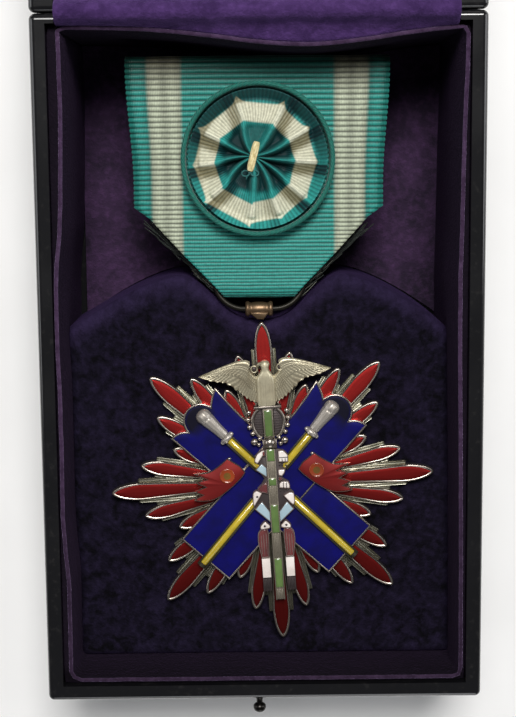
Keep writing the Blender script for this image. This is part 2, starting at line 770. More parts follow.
def ribbed_silk(name):
    """The ribbon's cloth, teal with two cream stripes laid out by the distance from its middle."""
    made = blank(name, Roughness=0.45, Sheen_Weight=0.3, Sheen_Roughness=0.3, Specular_IOR_Level=0.4)
    tree = made[1]
    part = looks().ribbon
    across, rib = axes(tree, coordinates(tree, "UV"))[:2]
    away = maths(tree, "ABSOLUTE", across)
    edge = 0.00025
    inner = ranged(tree, away, part.stripe_in - edge, part.stripe_in + edge)
    outer = ranged(tree, away, part.stripe_out + edge, part.stripe_out - edge)
    cloth = mixed(tree, maths(tree, "MULTIPLY", inner, outer), part.teal, part.cream)
    thread = used(tree, thread_group, {"Across": across, "Per unit": 4200.0})
    # Each rib swells twice across a stripe, where the light catches it
    half_stripe = (part.stripe_out - part.stripe_in) / 2
    turn = maths(tree, "DIVIDE", maths(tree, "SUBTRACT", away, part.stripe_in + half_stripe / 2), half_stripe)
    swell = maths(tree, "COSINE", maths(tree, "MULTIPLY", turn, 2 * math.pi))
    swell = mixed(tree, inner, (1.0, 1.0, 1.0), grey(tree, ranged(tree, swell, -1.0, 1.0, 0.72, 1.05)))
    cloth = mixed(tree, 1.0, cloth, swell, "MULTIPLY")
    # The upper fold is soiled where the bar lies in it
    cloth = mixed(tree, along_y(tree, 35.5, 40.5, 0.0, 0.85), cloth, (0.2, 0.15, 0.12), "MULTIPLY")
    shade = maths(tree, "MULTIPLY", thread["Shade"], ranged(tree, rib, 0.15, 1.0, 0.22, 1.0))
    cloth = mixed(tree, 1.0, cloth, grey(tree, shade), "MULTIPLY")
    return surfaced(made, cloth, thread["Height"], 0.35, 0.03)


def rosette_silk(name):
    """The rosette's cloth: teal with a cream band across each fold, dull in the valleys."""
    made = blank(name, Roughness=0.55, Sheen_Weight=0.08, Sheen_Roughness=0.3, Specular_IOR_Level=0.2)
    tree = made[1]
    along, around_rim = axes(tree, coordinates(tree, "UV"))[:2]
    high = add(tree, "ShaderNodeAttribute", attribute_name="lit").outputs["Fac"]
    band = maths(tree, "MULTIPLY", ranged(tree, along, 0.515, 0.54), ranged(tree, along, 0.805, 0.78))
    teal = mixed(tree, high, (0.002, 0.02, 0.024), (0.03, 0.33, 0.3))
    cream = mixed(tree, high, (0.2, 0.18, 0.1), (0.74, 0.74, 0.58))
    cloth = mixed(tree, band, teal, cream)
    thread = used(tree, thread_group, {"Across": around_rim, "Per unit": 3.0})
    cloth = mixed(tree, 1.0, cloth, grey(tree, thread["Shade"]), "MULTIPLY")
    return surfaced(made, cloth, thread["Height"], 0.35, 0.03)


def cord(name, base, dark):
    """Cord or thread, darker between its turns, which run along v."""
    made = blank(name, Roughness=0.6, Sheen_Weight=0.15, Sheen_Roughness=0.35, Specular_IOR_Level=0.3)
    tree = made[1]
    turn = maths(tree, "ADD", *axes(tree, coordinates(tree, "UV"))[:2])
    thread = used(tree, thread_group, {"Across": turn, "Per unit": 1.0})
    tone = ranged(tree, thread["Shade"], 0.7, 1.1)
    return surfaced(made, mixed(tree, tone, dark, base), thread["Height"], 0.5, 0.05)


def toned(value, share):
    return [c * share for c in value]


def velvets():
    """Velvets: colour, brushed colour, tint and weight of the sheen, and the rest in velvet's order."""
    case = looks().case
    return {
        "bed velvet": (case.bed, (0.013, 0.0092, 0.0265), (0.4, 0.2, 0.8), 0.04, 420.0, None,
                       (0.032, 0.02, 0.064)),
        "wall velvet": (case.wall, (0.01, 0.006, 0.013), (0.45, 0.25, 0.65), 0.045, 180.0,
                        (-42.6, -41.6, 0.4)),
        "well velvet": (toned(case.wall, 3), (0.062, 0.03, 0.08), (0.5, 0.3, 0.7), 0.3, 180.0),
        "velvet edge": ((0.03, 0.015, 0.037), (0.076, 0.043, 0.093), (0.7, 0.5, 0.9), 0.4, 500.0,
                        (-28, -10, 0.55)),
        "lid velvet": (case.lid, (0.08, 0.037, 0.15), (0.6, 0.4, 1.0), 0.3, 220.0),
    }


CORDS = {
    "teal cord": ((0.01, 0.16, 0.12), (0.004, 0.08, 0.065)),
    "knot thread": ((0.04, 0.19, 0.18), (0.01, 0.07, 0.07)),
    "cream thread": ((0.82, 0.72, 0.42), (0.5, 0.4, 0.18)),
    "dark strands": ((0.012, 0.018, 0.014), (0.004, 0.007, 0.005)),
    "grey strands": ((0.2, 0.2, 0.17), (0.08, 0.09, 0.07)),
}


def metals():
    """Metals: colour, tarnished colour, roughness, amount of tarnish and share of metal."""
    badge = looks().badge
    return {
        "silver": (badge.silver, (0.12, 0.095, 0.075), 0.28, 0.6, 0.97),
        "bar silver": ((0.38, 0.37, 0.3), (0.045, 0.045, 0.03), 0.34, 1.0, 0.97),
        "grey silver": ((0.52, 0.48, 0.43), (0.17, 0.145, 0.125), 0.42, 0.7, 0.7),
        "dark silver": ((0.075, 0.06, 0.06), (0.025, 0.02, 0.02), 0.45, 0.8, 0.5),
        "gilt": (badge.gilt, (0.13, 0.1, 0.06), 0.36, 0.95, 0.65),
        "rubbed gilt": (toned(badge.gilt, 1.5), (0.2, 0.16, 0.1), 0.42, 0.8, 0.6),
        "cord metal": ((0.3, 0.22, 0.2), (0.09, 0.06, 0.055), 0.4, 0.75, 0.6),
        "olive metal": ((0.04, 0.036, 0.022), (0.015, 0.013, 0.01), 0.42, 0.8, 0.5),
        "grip metal": ((0.27, 0.24, 0.19), (0.1, 0.08, 0.06), 0.38, 0.75, 0.6),
        "copper": ((0.2, 0.13, 0.075), (0.05, 0.032, 0.018), 0.36, 0.95, 0.8),
        "dark copper": ((0.017, 0.015, 0.011), (0.01, 0.008, 0.006), 0.4, 0.8, 0.7),
        "brass": ((0.62, 0.48, 0.24), (0.2, 0.13, 0.05), 0.32, 0.6),
        "steel": ((0.45, 0.45, 0.46), (0.15, 0.14, 0.14), 0.35, 0.5),
        "blackened brass": ((0.03, 0.028, 0.026), (0.012, 0.012, 0.012), 0.3, 0.5),
    }


def enamels():
    """Enamels: colour, deep colour, and the rest in enamel's order."""
    badge = looks().badge
    red, blue, yellow, green = badge.red, badge.blue, badge.yellow, badge.green
    return {
        "red enamel": (red, toned(red, 0.5), 0.35, 0.2, 0.95, 0.5, 110.0, (-36, -3, 0.5, 1.4)),
        "banner enamel": (toned(red, 0.65), toned(red, 0.42), 0.42, 0.15, 0.6),
        "blue enamel": (blue, toned(blue, 0.5), 0.5, 0.0, 0.0, 0.12, 0.0, None, (-0.015, 1.33, 0.245)),
        "yellow enamel": (yellow, toned(yellow, 0.62)),
        "green enamel": (green, toned(green, 0.6)),
        "orange enamel": ((0.3, 0.05, 0.012), (0.2, 0.03, 0.008)),
        "brown enamel": ((0.17, 0.085, 0.015), (0.1, 0.05, 0.01)),
        "white enamel": ((0.84, 0.78, 0.74), (0.66, 0.58, 0.53)),
        "pale blue enamel": ((0.42, 0.55, 0.62), (0.3, 0.42, 0.48)),
        "maroon enamel": ((0.17, 0.045, 0.045), (0.07, 0.02, 0.022)),
    }


MATERIALS = {}


def finish_of(name):
    """The material of that name, made once."""
    if name not in MATERIALS:
        families = ((lacquer, {"black lacquer": ()}), (ribbed_silk, {"ribbed silk": ()}),
                    (rosette_silk, {"rosette silk": ()}), (velvet, velvets()), (cord, CORDS),
                    (metal, metals()), (enamel, enamels()))
        maker, values = next((maker, table[name]) for maker, table in families if name in table)
        MATERIALS[name] = maker(name, *values)
    return MATERIALS[name]


def repaint(name, *nodes):
    """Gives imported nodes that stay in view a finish."""
    for node in nodes:
        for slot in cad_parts[node].material_slots:
            slot.material = finish_of(name)


# Case

LINER_X = (-25.75, 26.45)
LINER_FRONT, LINER_BACK = -42.85, 43.85
FLOOR_Z, LID_FLOOR_Z = 2.6, 17.7


def bow_y(x):
    """Inner face of the back lining, which bulges into the case right of the middle."""
    return LINER_BACK - 2.4 * math.exp(-((x - 6.5) / (15.5 if x < 6.5 else 14.0)) ** 2)


def bed_edge(x):
    """Front of the well: from the valley over each hump to the falling shoulders."""
    a = abs(x)
    if a < 11.2:
        return 5 + 6.5 * ((1 - math.cos(math.pi * a / 11.2)) / 2) ** 1.3
    return 11.5 - 8.5 * ((a - 11.2) / (27.6 - 11.2)) ** 1.5


def make_bed():
    """Velvet over the bed: rolled edges, slack patches and the uneven nap."""
    roll = looks().case.edge_roll / MM
    nap = looks().case.nap / MM
    low, top, fore = FLOOR_Z + 0.05, BED_Z - 0.06, 0.9
    x0, x1 = LINER_X[0] + 0.08, LINER_X[1] - 0.08
    front = LINER_FRONT + 0.08
    rings = []
    for x in [x0 + 0.02, *span(x0 + 0.1, x1 - 0.1, 150), x1 - 0.02]:
        edge = bed_edge(x) - 0.04
        side = min(x - x0, x1 - x)
        drop = 0.35 * (1 - min(1, side / 0.8)) ** 2
        ring = [(x, front, low), (x, front, top - 1.6 - drop)]
        ring += [(x, front + fore * (1 - math.cos(a)), top - fore * (1 - math.sin(a)) - drop)
                 for a in (0.3, 0.7, 1.1)]
        body = span(front + 0.95, edge - roll, 110)
        ring += [(x, y, top - drop) for y in body]
        ring += [(x, edge - roll + roll * math.sin(a), top - roll + roll * math.cos(a) - drop)
                 for a in span(0.2, math.pi / 2, 7)]
        ring += [(x, edge, 12), (x, edge, low)]
        soft = []
        for i, (px, py, pz) in enumerate(ring):
            if 1 < i < len(ring) - 2:
                wave = 0.16 * noise_at(px * 0.09, py * 0.09, 4.0) + 0.05 * noise_at(px * 0.5, py * 0.5, 1.0)
                tuft = nap * 0.22 * noise_at(px / nap, py / nap, 7.0)
                pz += -0.2 + wave + tuft
            near = px / (x0 if px < 0 else x1)
            soft.append((px + side_bow(px, py) * near ** 8, py, pz))
        rings.append(soft)
    points, faces = loft(rings)
    from_edge = [((bed_edge(x) - y) / 10, x / 10) for x, y, _ in points]
    bed = write(Shape().add(points, faces, from_edge), "bed_velvet", "bed velvet", sharp=50)
    settle(bed, "dark_velvet", "bed_pad")


def side_bow(x, y):
    """How far a long side of the lining waves from its straight line, at its own left or right side."""
    left = [(-42, -0.2), (-30, -0.15), (-26, -0.45), (-21, -0.75), (-10, -0.65), (-2, -0.7), (3, -0.95),
            (10, -0.9), (14, -0.6), (18, -0.1), (26, 0.22), (34, 0.4), (43.5, 0.3)]
    right = [(-42, -0.1), (-26, -0.2), (-10, -0.4), (2, -0.6), (10, -0.65), (18, -0.5), (30, -0.3),
             (43.5, 0.15)]
    return read_off(left if x < 0 else right, y)


def wall_stations():
    """Matching points on the inner and outer outline of the lining, counter-clockwise."""
    left, right = LINER_X
    front, back, side, cut, out = -44.05, 44.85, 27.55, 0.15, 0.1
    xs, ys = span(left + 0.6, right - 0.6, 60), span(LINER_FRONT + 0.6, LINER_BACK - 0.6, 90)
    stations = [((x, LINER_FRONT), (x, front)) for x in xs]
    stations.append(((right - cut, LINER_FRONT + cut), (side - out, front + out)))
    stations += [((right + side_bow(1, y), y), (side, y)) for y in ys]
    stations.append(((right - cut, LINER_BACK - cut), (side - out, back - out)))
    stations += [((x, bow_y(x)), (x, back)) for x in reversed(xs)]
    stations.append(((left + cut, LINER_BACK - cut), (out - side, back - out)))
    stations += [((left + side_bow(-1, y), y), (-side, y)) for y in reversed(ys)]
    stations.append(((left + cut, LINER_FRONT + cut), (out - side, front + out)))
    return stations


def make_walls():
    """Velvet lining of the base: one ring of wall, its upper edge a narrow roll that shows the cut pile."""
    rings = []
    r = 0.27
    for (ix, iy), (ox, oy) in wall_stations():
        dx, dy = ox - ix, oy - iy
        thick = max(0.2, math.hypot(dx, dy))
        top = (27.05 if oy > 44 else 27.5) - 0.08 * (1 + noise_at(ix * 0.4, iy * 0.4, 2.0))
        crest = min(0.62, thick * 0.6) + 0.05 * noise_at(ix * 0.3, iy * 0.3, 6.0)
        behind = max(crest + 0.3, thick * 0.97)

        def at(d, z):
            return ix + dx * min(1.0, d / thick), iy + dy * min(1.0, d / thick), z

        ring = [(ox, oy, FLOOR_Z), (ox, oy, top - 0.75), at(behind - 0.02, top - 0.65),
                at(min(behind - 0.04, crest + 0.3), top - 0.55)]
        ring += [at(crest + r * math.cos(a), top - r + r * math.sin(a)) for a in span(0, math.pi, 7)]
        sway = 0.06 * (1 + noise_at(ix * 0.15, iy * 0.15, 9.0))
        ring += [at(crest * 0.4, top - 1.2), at(-sway * 0.5, 24.6), at(-sway, 20), at(-sway, 12),
                 at(-sway * 0.3, FLOOR_Z)]
        rings.append(ring)
    count = len(rings[0])
    points, faces = loft(rings + [rings[0]], caps=False)
    shape = Shape().add(points, faces)
    shape.kinds = [1 if 3 < k % count < 11 else 0 for k in range(len(faces))]
    walls = write(shape, "wall_velvet", "wall velvet", "velvet edge", sharp=70)
    settle(walls, "dark_velvet", "case_liner")


def make_well():
    """Velvet on the well's floor and over the block that carries the ribbon."""
    def at(x, t):
        y0, y1 = bed_edge(x) + 0.15, bow_y(x) - 0.2
        y = y0 + (y1 - y0) * t
        return (x, y, 3.85 + 0.12 * noise_at(x * 0.25, y * 0.25, 5.0)), (x, y, FLOOR_Z)

    across = span(LINER_X[0] + 0.08, LINER_X[1] - 0.08, 60)
    floor = write(Shape().add(*panel(across, span(0, 1, 60), at)), "well_velvet", "well velvet", sharp=50)
    settle(floor, "dark_velvet", "well_floor")
    side = ccw([(-5, 12.6), (5, 12.6), (13.8, 21), (13.8, 40.2), (-13.8, 40.2), (-13.8, 21)])
    rings = []
    for d, z in ((0.1, 4.1), (0, 4.3), (0, 14.2), (0.3, 14.9), (1.0, 15.15)):
        rings.append([(x - 0.2, y, z - (y - 12.6) * 0.042) for x, y in inset(side, d)])
    rest = write(Shape().add(*loft(rings)), "ribbon_support", "wall velvet", sharp=40)
    settle(rest, "dark_velvet", "ribbon_rest")


def make_flap():
    """Velvet strip from the base's back lining over the hinge into the lid, slack in the middle."""
    half, rows = 0.28, 34
    lid_in = HINGE_Y + 3.0
    over = [(45.25, 28.3), (45.6, 28.95), (HINGE_Y, 29.3), (47.0, 28.95), (47.4, 28.3), (47.8, 27.62),
            (48.4, 27.5), (lid_in, 27.5), (lid_in + 0.6, 27.2), (lid_in + 0.75, 26.3)]

    def at(x, s):
        fore = bow_y(x) + 1.0
        back = max(fore + 0.3, 44.9)
        rise = [(fore, 26.0), (fore + 0.05, 26.3), (fore + 0.15, 26.6), (fore + (back - fore) * 0.6, 27.0)]
        y, z, ny, nz = along_path(rise + [(back, 27.6)] + over, s / (rows - 1))
        over_it = half + (0.14 * noise_at(x * 0.3, s * 0.15, 3.0) if 4 < s < 29 else 0)
        return (x, y + ny * over_it, z + nz * over_it), (x, y - ny * half, z - nz * half)

    flap = write(Shape().add(*panel(span(-26.3, 25.9, 110), range(rows), at)), "hinge_velvet", "lid velvet")
    settle(flap, "purple_velvet", "hinge_flap", body=None)
    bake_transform(flap)


def along_path(path, t):
    """Place and left-hand normal at the share t of a path of (y, z) points."""
    steps = [math.dist(a, b) for a, b in zip(path, path[1:])]
    goal = t * sum(steps)
    for i, step in enumerate(steps):
        if goal <= step or i == len(steps) - 1:
            break
        goal -= step
    u = min(1, goal / steps[i])
    a, b = path[i], path[i + 1]
    before, after = path[max(0, i - 1)], path[min(len(path) - 1, i + 2)]
    ta = Vector((b[0] - before[0], b[1] - before[1])).normalized()
    tb = Vector((after[0] - a[0], after[1] - a[1])).normalized()
    t = ta.lerp(tb, u).normalized()
    return a[0] + (b[0] - a[0]) * u, a[1] + (b[1] - a[1]) * u, -t[1], t[0]


def make_lid_lining():
    """Lid's velvet: four wall strips and a low crowned pad between them."""
    y0, roll = 49.3, 0.4
    corners = box(-26.7, y0, 26.7, 135.7)
    outer = dense(corners, 1.2)
    rings = []
    for (ox, oy), (ix, iy) in zip(outer, dense(inset(corners, 1.0), 1.2, len(outer))):
        near = oy < y0 + 0.6
        top = (26.2 if near else 26.95) - 0.12 * (1 + noise_at(ix * 0.3, iy * 0.3, 6.0))
        dx, dy = ix - ox, iy - oy
        ring = [(ox, oy, LID_FLOOR_Z), (ox, oy, top - roll)]
        for a in span(0.3, math.pi, 5):
            share = 0.5 - 0.5 * math.cos(a)
            ring.append((ox + dx * share, oy + dy * share, top - roll + roll * math.sin(a)))
        ring += [(ix, iy, 22), (ix, iy, LID_FLOOR_Z)]
        rings.append(ring)
    shape = Shape().add(*loft(rings + [rings[0]], caps=False))
    walls = write(shape, "lid_wall_velvet", "lid velvet", sharp=60)
    settle(walls, "purple_velvet", "lid_lining", body="lid")
    half, start, end = 25.6, 50.4, 134.6

    def at(u, v):
        x, y = -half + 2 * half * u, start + (end - start) * v
        near_x, near_y = min(u, 1 - u) * 2 * half, min(v, 1 - v) * (end - start)
        crown = 1.5 * (1 - (1 - min(1, near_x / 7)) ** 3) * (1 - (1 - min(1, near_y / 7)) ** 3)
        return (x, y, 20 + crown + 0.12 * noise_at(x * 0.12, y * 0.12, 8.0)), (x, y, LID_FLOOR_Z)

    pad = write(Shape().add(*panel(eased(60), eased(90), at)), "lid_pad", "lid velvet", sharp=60)
    settle(pad, "purple_velvet", "lid_lining", body="lid")


def eased(count):
    """Shares from 0 to 1 that crowd towards both ends."""
    return [0.5 - 0.5 * math.cos(math.pi * i / count) for i in range(count + 1)]


def dense(outline, step, count=None):
    """Points along a closed outline, every step or so, or count of them."""
    sides = list(zip(outline, outline[1:] + outline[:1]))
    parts = [max(1, round(math.dist(a, b) / step)) for a, b in sides]
    if count:
        whole = sum(math.dist(a, b) for a, b in sides)
        parts = [max(1, round(math.dist(a, b) / whole * count)) for a, b in sides]
        parts[-1] += count - sum(parts)
    return [(a[0] + (b[0] - a[0]) * i / n, a[1] + (b[1] - a[1]) * i / n)
            for (a, b), n in zip(sides, parts) for i in range(n)]


def make_catch():
    """Turned catch button with a neck, on the front of the base."""
    profile = [(0, 0.55), (0.15, 0.62), (0.5, 0.42), (0.95, 0.42), (1.15, 0.7), (1.35, 0.84), (1.7, 0.86),
               (2.05, 0.72), (2.25, 0.45), (2.34, 0.15)]
    place = moved(-0.7, -46.25, 26.4) @ turned_by(-90)
    button = write(Shape().add(*turned(profile, 28), place=place), "catch", "blackened brass", sharp=35)
    settle(button, "dark_metal", "catch_button")


# Ribbon and rosette

RIBBON_T = 0.8
FOLD_R = 1.8 - RIBBON_T / 2
RIBBON_Y = (8.2 + 1.8, 41.3 - 1.8)


def ribbon_half(y):
    """Half width of the ribbon: its straight sides, then the slant down to the blunt point."""
    return read_off([(7.0, 4.4), (8.2, 4.4), (14.0, 10.1), (19.3, 15.6), (20.8, 18.0), (43.0, 18.0)], y)


def loop_point(s):
    """Place and outward normal in (y, z) along the loop: front, lower fold, back, upper fold."""
    low, high = RIBBON_Y
    run, arc = high - low, math.pi * FOLD_R
    s %= 2 * (run + arc)
    if s < run:
        return high - s, FOLD_R, 0.0, 1.0
    s -= run
    if s < arc:
        a = math.pi / 2 + s / FOLD_R
        return low + FOLD_R * math.cos(a), FOLD_R * math.sin(a), math.cos(a), math.sin(a)
    s -= arc
    if s < run:
        return low + s, -FOLD_R, 0.0, -1.0
    s -= run
    a = -math.pi / 2 + s / FOLD_R
    return high + FOLD_R * math.cos(a), FOLD_R * math.sin(a), math.cos(a), math.sin(a)


# Share of the full rib pitch at places along the ribbon's front, where the ribs crowd towards the fold
RIB_SHARE = [(8, 0.61), (9, 0.62), (12.5, 0.64), (15.5, 0.73), (18.5, 0.8), (21, 0.92), (27, 0.97), (30, 1.0)]


def curled(x, y, z):
    """Bends the ribbon's sides down and in, more towards its lower end."""
    more = smooth((40 - y) / 16)
    out = max(0.0, abs(x) - 10)
    side = 1 if x > 0 else -1
    return side * (abs(x) - 0.11 * more * out), z - (1.1 if z > 0 else 0.35) * more * (out / 8) ** 2


def make_ribbon():
    """The ribbon's loop with a round rib at every pitch, scalloped edges and sides that curl down."""
    part = looks().ribbon
    whole = 2 * (RIBBON_Y[1] - RIBBON_Y[0] + math.pi * FOLD_R)
    full, height = part.rib / MM, part.rib_height / MM
    cuts = [0.0]
    while whole - cuts[-1] > full * 0.5:
        y, z, _, _ = loop_point(cuts[-1])
        cuts.append(cuts[-1] + full * (read_off(RIB_SHARE, y) if z > 0 else 1.0))
    cuts = [c * whole / cuts[-1] for c in cuts]
    per, cols = 6, 36
    deep = RIBBON_T / 2 - 0.15
    outer, inner, uv_out, uv_in = [], [], [], []
    for rib, (start, stop) in enumerate(zip(cuts, cuts[1:])):
        tall = height * (0.85 + 0.3 * noise_at(rib * 0.71, 0.3)) * (stop - start) / full
        for j in range(per):
            y, z, ny, nz = loop_point(start + (stop - start) * j / per)
            swell = math.sin(math.pi * j / per) ** 0.65 if j else 0.0
            half = ribbon_half(y) - 0.02 + (0.0 if y < 20.8 else 0.14 * (swell - 1))
            for c in range(cols + 1):
                x = half * (2 * c / cols - 1)
                bend = 0.05 * noise_at(x * 0.35, rib * 1.3, 5.0)
                lift = RIBBON_T / 2 - height + tall * swell * (1 + 0.35 * noise_at(x * 0.6, rib * 2.1, 2.0))
                px, pz = curled(x, y, z + nz * lift)
                outer.append((px, y + ny * lift + bend, pz))
                px, pz = curled(x, y, z - nz * deep)
                inner.append((px, y - ny * deep, pz))
                uv_out.append((x * MM, swell))
                uv_in.append((x * MM, 0.7))
    rows, n, count = (len(cuts) - 1) * per, cols + 1, len(outer)
    faces = []
    for r in range(rows):
        a, b = r * n, ((r + 1) % rows) * n
        for c in range(cols):
            faces.append((a + c, a + c + 1, b + c + 1, b + c))
            faces.append((count + b + c, count + b + c + 1, count + a + c + 1, count + a + c))
        faces.append((a, b, count + b, count + a))
        faces.append((b + cols, a + cols, count + a + cols, count + b + cols))
    shape = Shape().add(outer + inner, faces, uv_out + uv_in)
    ribbon = write(shape, "ribbon_cloth", "ribbed silk", place=RIBBON_PLACE, merge=False)
    settle(ribbon, "ribbon_cloth", "ribbon")


def make_fray():
    """Loose strands of the folded ply that lie just outside the ribbon's slanted edges."""
    tree = strand_tree()
    slant = math.radians(42.8)
    low = 8.4
    kinds = (("fray_dark", "dark strands", looks().ribbon.strands, 2.5, 0.075, 17.4),
             ("fray_grey", "grey strands", 16, 2.9, 0.045, 12.5))
    for name, finish, count, long, thick, top in kinds:
        points, facing = [], []
        for side in (-1, 1):
            for i in range(count):
                y = low + (top - low) * (i + 0.5 + 0.4 * noise_at(i * 1.7, side * 3.1, thick)) / count
                out = 0.45 + 0.9 * noise_at(i * 2.3, 5.0, side + thick)
                x = ribbon_half(y) + out * math.sin(slant) - 0.2
                z = 0.35 * noise_at(i * 0.9, side * 1.0, 4.0) - 0.2
                points.append(tuple(RIBBON_PLACE @ Vector((side * x, y - out * math.cos(slant), z)) * MM))
                outwards = slant if side > 0 else math.pi - slant
                facing.append(outwards + 0.25 * noise_at(i * 1.1, side * 2.0, 8.0))
        strands = grow(point_object(name, points, facing=facing), tree, Length=long * MM,
                       Thickness=thick * MM, Seed=len(name), Material=finish_of(finish))
        settle(strands, "ribbon_cloth")


# Crests between the rosette's folds, in degrees
FOLDS = [-175, -142, -97, -69, -39, -3, 31, 64, 109, 153]


def fold_at(a):
    """Which fold an angle in degrees lies in: share along it, its width and the angle from its middle."""
    a = (a + 175) % 360 - 175
    for low, high in zip(FOLDS, FOLDS[1:] + [FOLDS[0] + 360]):
        if low <= a < high:
            break
    return (a - low) / (high - low), high - low, (low + high) / 2 - a


def crest_line(r, gap):
    """Falls from 1 on a fold's crest to 0 beside it."""
    return math.exp(-(gap / (0.3 + 0.05 * r)) ** 2.6)


def fold_height(r, t, gap, shallow):
    """Height of the rosette's face: rolled crests, deep valleys near the middle, dished panels outside."""
    inner = 2.35 - 1.9 * shallow * (1 - crest_line(r, gap))
    dish = 1.2 * shallow * (1 - math.exp(-(gap / 0.95) ** 1.4))
    band = 2.25 - 0.35 * smooth((r - 5) / 3.2) - dish - 0.15 * math.sin(math.pi * t)
    z = inner + (band - inner) * smooth((r - 4.0) / 1.4)
    groove = 0.95 + 1.2 * max(0.0, min(1.0, (r - 8.2) / 1.2)) + 0.12 * math.exp(-(gap / 0.5) ** 2)
    return z + (groove - z) * smooth((r - 7.8) / 0.6)


def turned_away(a, t, width, r):
    """How much a spot of the rosette's band lies on the dull side of the crest beside it."""
    lean = math.cos(math.radians(a))
    off = math.radians(width) * r * (t if lean < 0 else 1 - t)
    return min(1.0, abs(lean) * 1.5) * smooth((off - 0.25) / 0.3) * (1 - smooth((off - 1.3) / 1.2))


def make_rosette():
    """Ten folds of ribbon gathered to the middle, and the cord round them."""
    radii = [0.3, 0.6, 1.0, 1.4, 1.8, *span(2.2, 8.8, 40), 9.0, 9.2, 9.4]
    cols, ribs = 840, 105
    angles = circle(cols)
    rows, uv, lit = [], [], []
    for r in radii:
        row = []
        near = max(0.0, 1 - r / 5.6) ** 1.2
        for angle in angles:
            # Towards the middle the folds run in beside the stitch bar, which stands at 76 degrees
            turned_in = angle + math.radians(14)
            a = math.degrees(math.atan2(math.sin(turned_in) * (1 + near), math.cos(turned_in))) - 14
            t, width, off = fold_at(a)
            gap = math.radians(min(t, 1 - t) * width) * r
            shallow = 1 - 0.45 * math.exp(-((a - 86.5) / 17) ** 4)
            z = fold_height(r, t, gap, shallow)
            swell = abs(math.sin(ribs * angle / 2))
            z += 0.07 * (swell - 0.5) * smooth((r - 5) / 2)
            bright = 0.02 + 0.6 * (1 - shallow) + 0.6 * crest_line(r, gap)
            outside = 0.72 + 0.4 * (swell - 0.6) + 0.28 * math.exp(-(gap / 0.35) ** 2)
            outside -= 0.75 * turned_away(a, t, width, r)
            outside *= 1 - smooth((r - 7.6) / 0.5) * (0.85 - 0.95 * smooth((0.55 - math.sin(angle)) / 1.3))
            lit.append(max(0.0, min(1.0, bright + (outside - bright) * smooth((r - 4.2) / 0.8))))
            x, y = r * math.cos(angle), r * math.sin(angle)
            pull = max(0.0, 1 - r / 6)
            row.append((x - 0.6 * pull, y + 0.3 * pull, max(0.15, z)))
            horn = 0.12 + 0.38 * smooth(math.sin(angle) * 1.3)
            horn = horn * math.exp(-(gap / 0.45) ** 2) * smooth(r - 7)
            chord = r * math.cos(math.radians(off)) + 0.35 * math.cos(angle) + 0.43 * math.sin(angle) - horn
            uv.append((chord / 10, angle * ribs / (2 * math.pi) / 3))
        rows.append(row)
    points, faces = loft(rows, caps=False)
    faces = [f[::-1] for f in faces]
    base = len(points)
    rim = [(radii[-1] * math.cos(angle), radii[-1] * math.sin(angle), 0.05) for angle in angles]
    for c in range(cols):
        d = (c + 1) % cols
        faces.append((base - cols + d, base - cols + c, base + c, base + d))
    faces.append(tuple(base + c for c in range(cols)))
    faces.append(tuple(range(cols)))
    uv += [(0.95, 0)] * cols
    shape = Shape().add(points + rim, faces, uv)
    face = write(shape, "rosette_folds", "rosette silk", place=ROSETTE_PLACE, merge=False)
    face.data.attributes.new("lit", "FLOAT", "POINT").data.foreach_set("value", lit + [0.4] * cols)
    settle(face, "rosette_cloth", "rosette_backing", "rosette_pleats")
    # Edge: a thin cord on top of a plain band, with a dark gap inside it
    profile = [(9.72, 0.05), (9.72, 2.1), (9.78, 2.3)]
    profile += arc(10.08, 2.24, 0.32, 0.32, 165, -30, 10) + [(10.36, 1.9), (10.4, 0.4), (10.3, 0.05)]
    steps = 240
    ring = [[(r * math.cos(b), r * math.sin(b), z) for r, z in profile] for b in circle(steps)]
    points, faces = loft(ring + [ring[0]], caps=False)
    uv = [(i * 0.45, k / 3) for i in range(steps + 1) for k in range(len(profile))]
    rim = write(Shape().add(points, faces, uv), "rosette_edge", "teal cord", place=ROSETTE_PLACE, sharp=60)
    settle(rim, "rosette_cloth", "rosette_rim")


def make_stitch():
    """Bar of cream thread at the rosette's middle, and the small loops of the knot under it."""
    strands = 7
    bar = Shape()
    for k, a in enumerate(circle(strands)):
        path = []
        for x in span(-1.95, 1.95, 60):
            tight = math.sqrt(max(0.0, 1 - (abs(x) / 2.05) ** 6))
            turn = a + 0.12 * x
            path.append((x, 0.32 * tight * math.cos(turn), 0.28 * tight * math.sin(turn)))
        points, faces = swept(path, 0.2, 9)
        bar.add(points, faces, [(p[0] * 0.6, k / 3) for p in points])
    place = ROSETTE_PLACE @ moved(-0.6, 0.3, 2.42) @ turned_by(76)
    ob = write(bar, "stitch_bar", "cream thread", place=place, merge=False)
    settle(ob, "cream_thread", "rosette_stitch")
    knot = Shape()
    for side in (-1, 1):
        loop = [(side * (0.62 + 0.5 * math.cos(a)), 0.38 * math.sin(a), 0.1 * math.sin(2 * a))
                for a in circle(22)]
        knot.add(*swept(loop, 0.1, 7, closed=True))
        end = [(0, 0, 0.1), (side * 0.4, -0.35, 0.05), (side * 0.55, -0.8, 0)]
        knot.add(*swept(end, [0.11, 0.1, 0.07], 7))
    knot.add(*swept([(-0.2, -0.05, 0.06), (0, 0.04, 0.16), (0.22, -0.02, 0.05)], [0.12, 0.2, 0.12], 8))
    bow = write(knot, "stitch_knot", "knot thread", place=ROSETTE_PLACE @ moved(-1.05, -1.95, 2.25))
    settle(bow, "rosette_cloth")


# Suspension

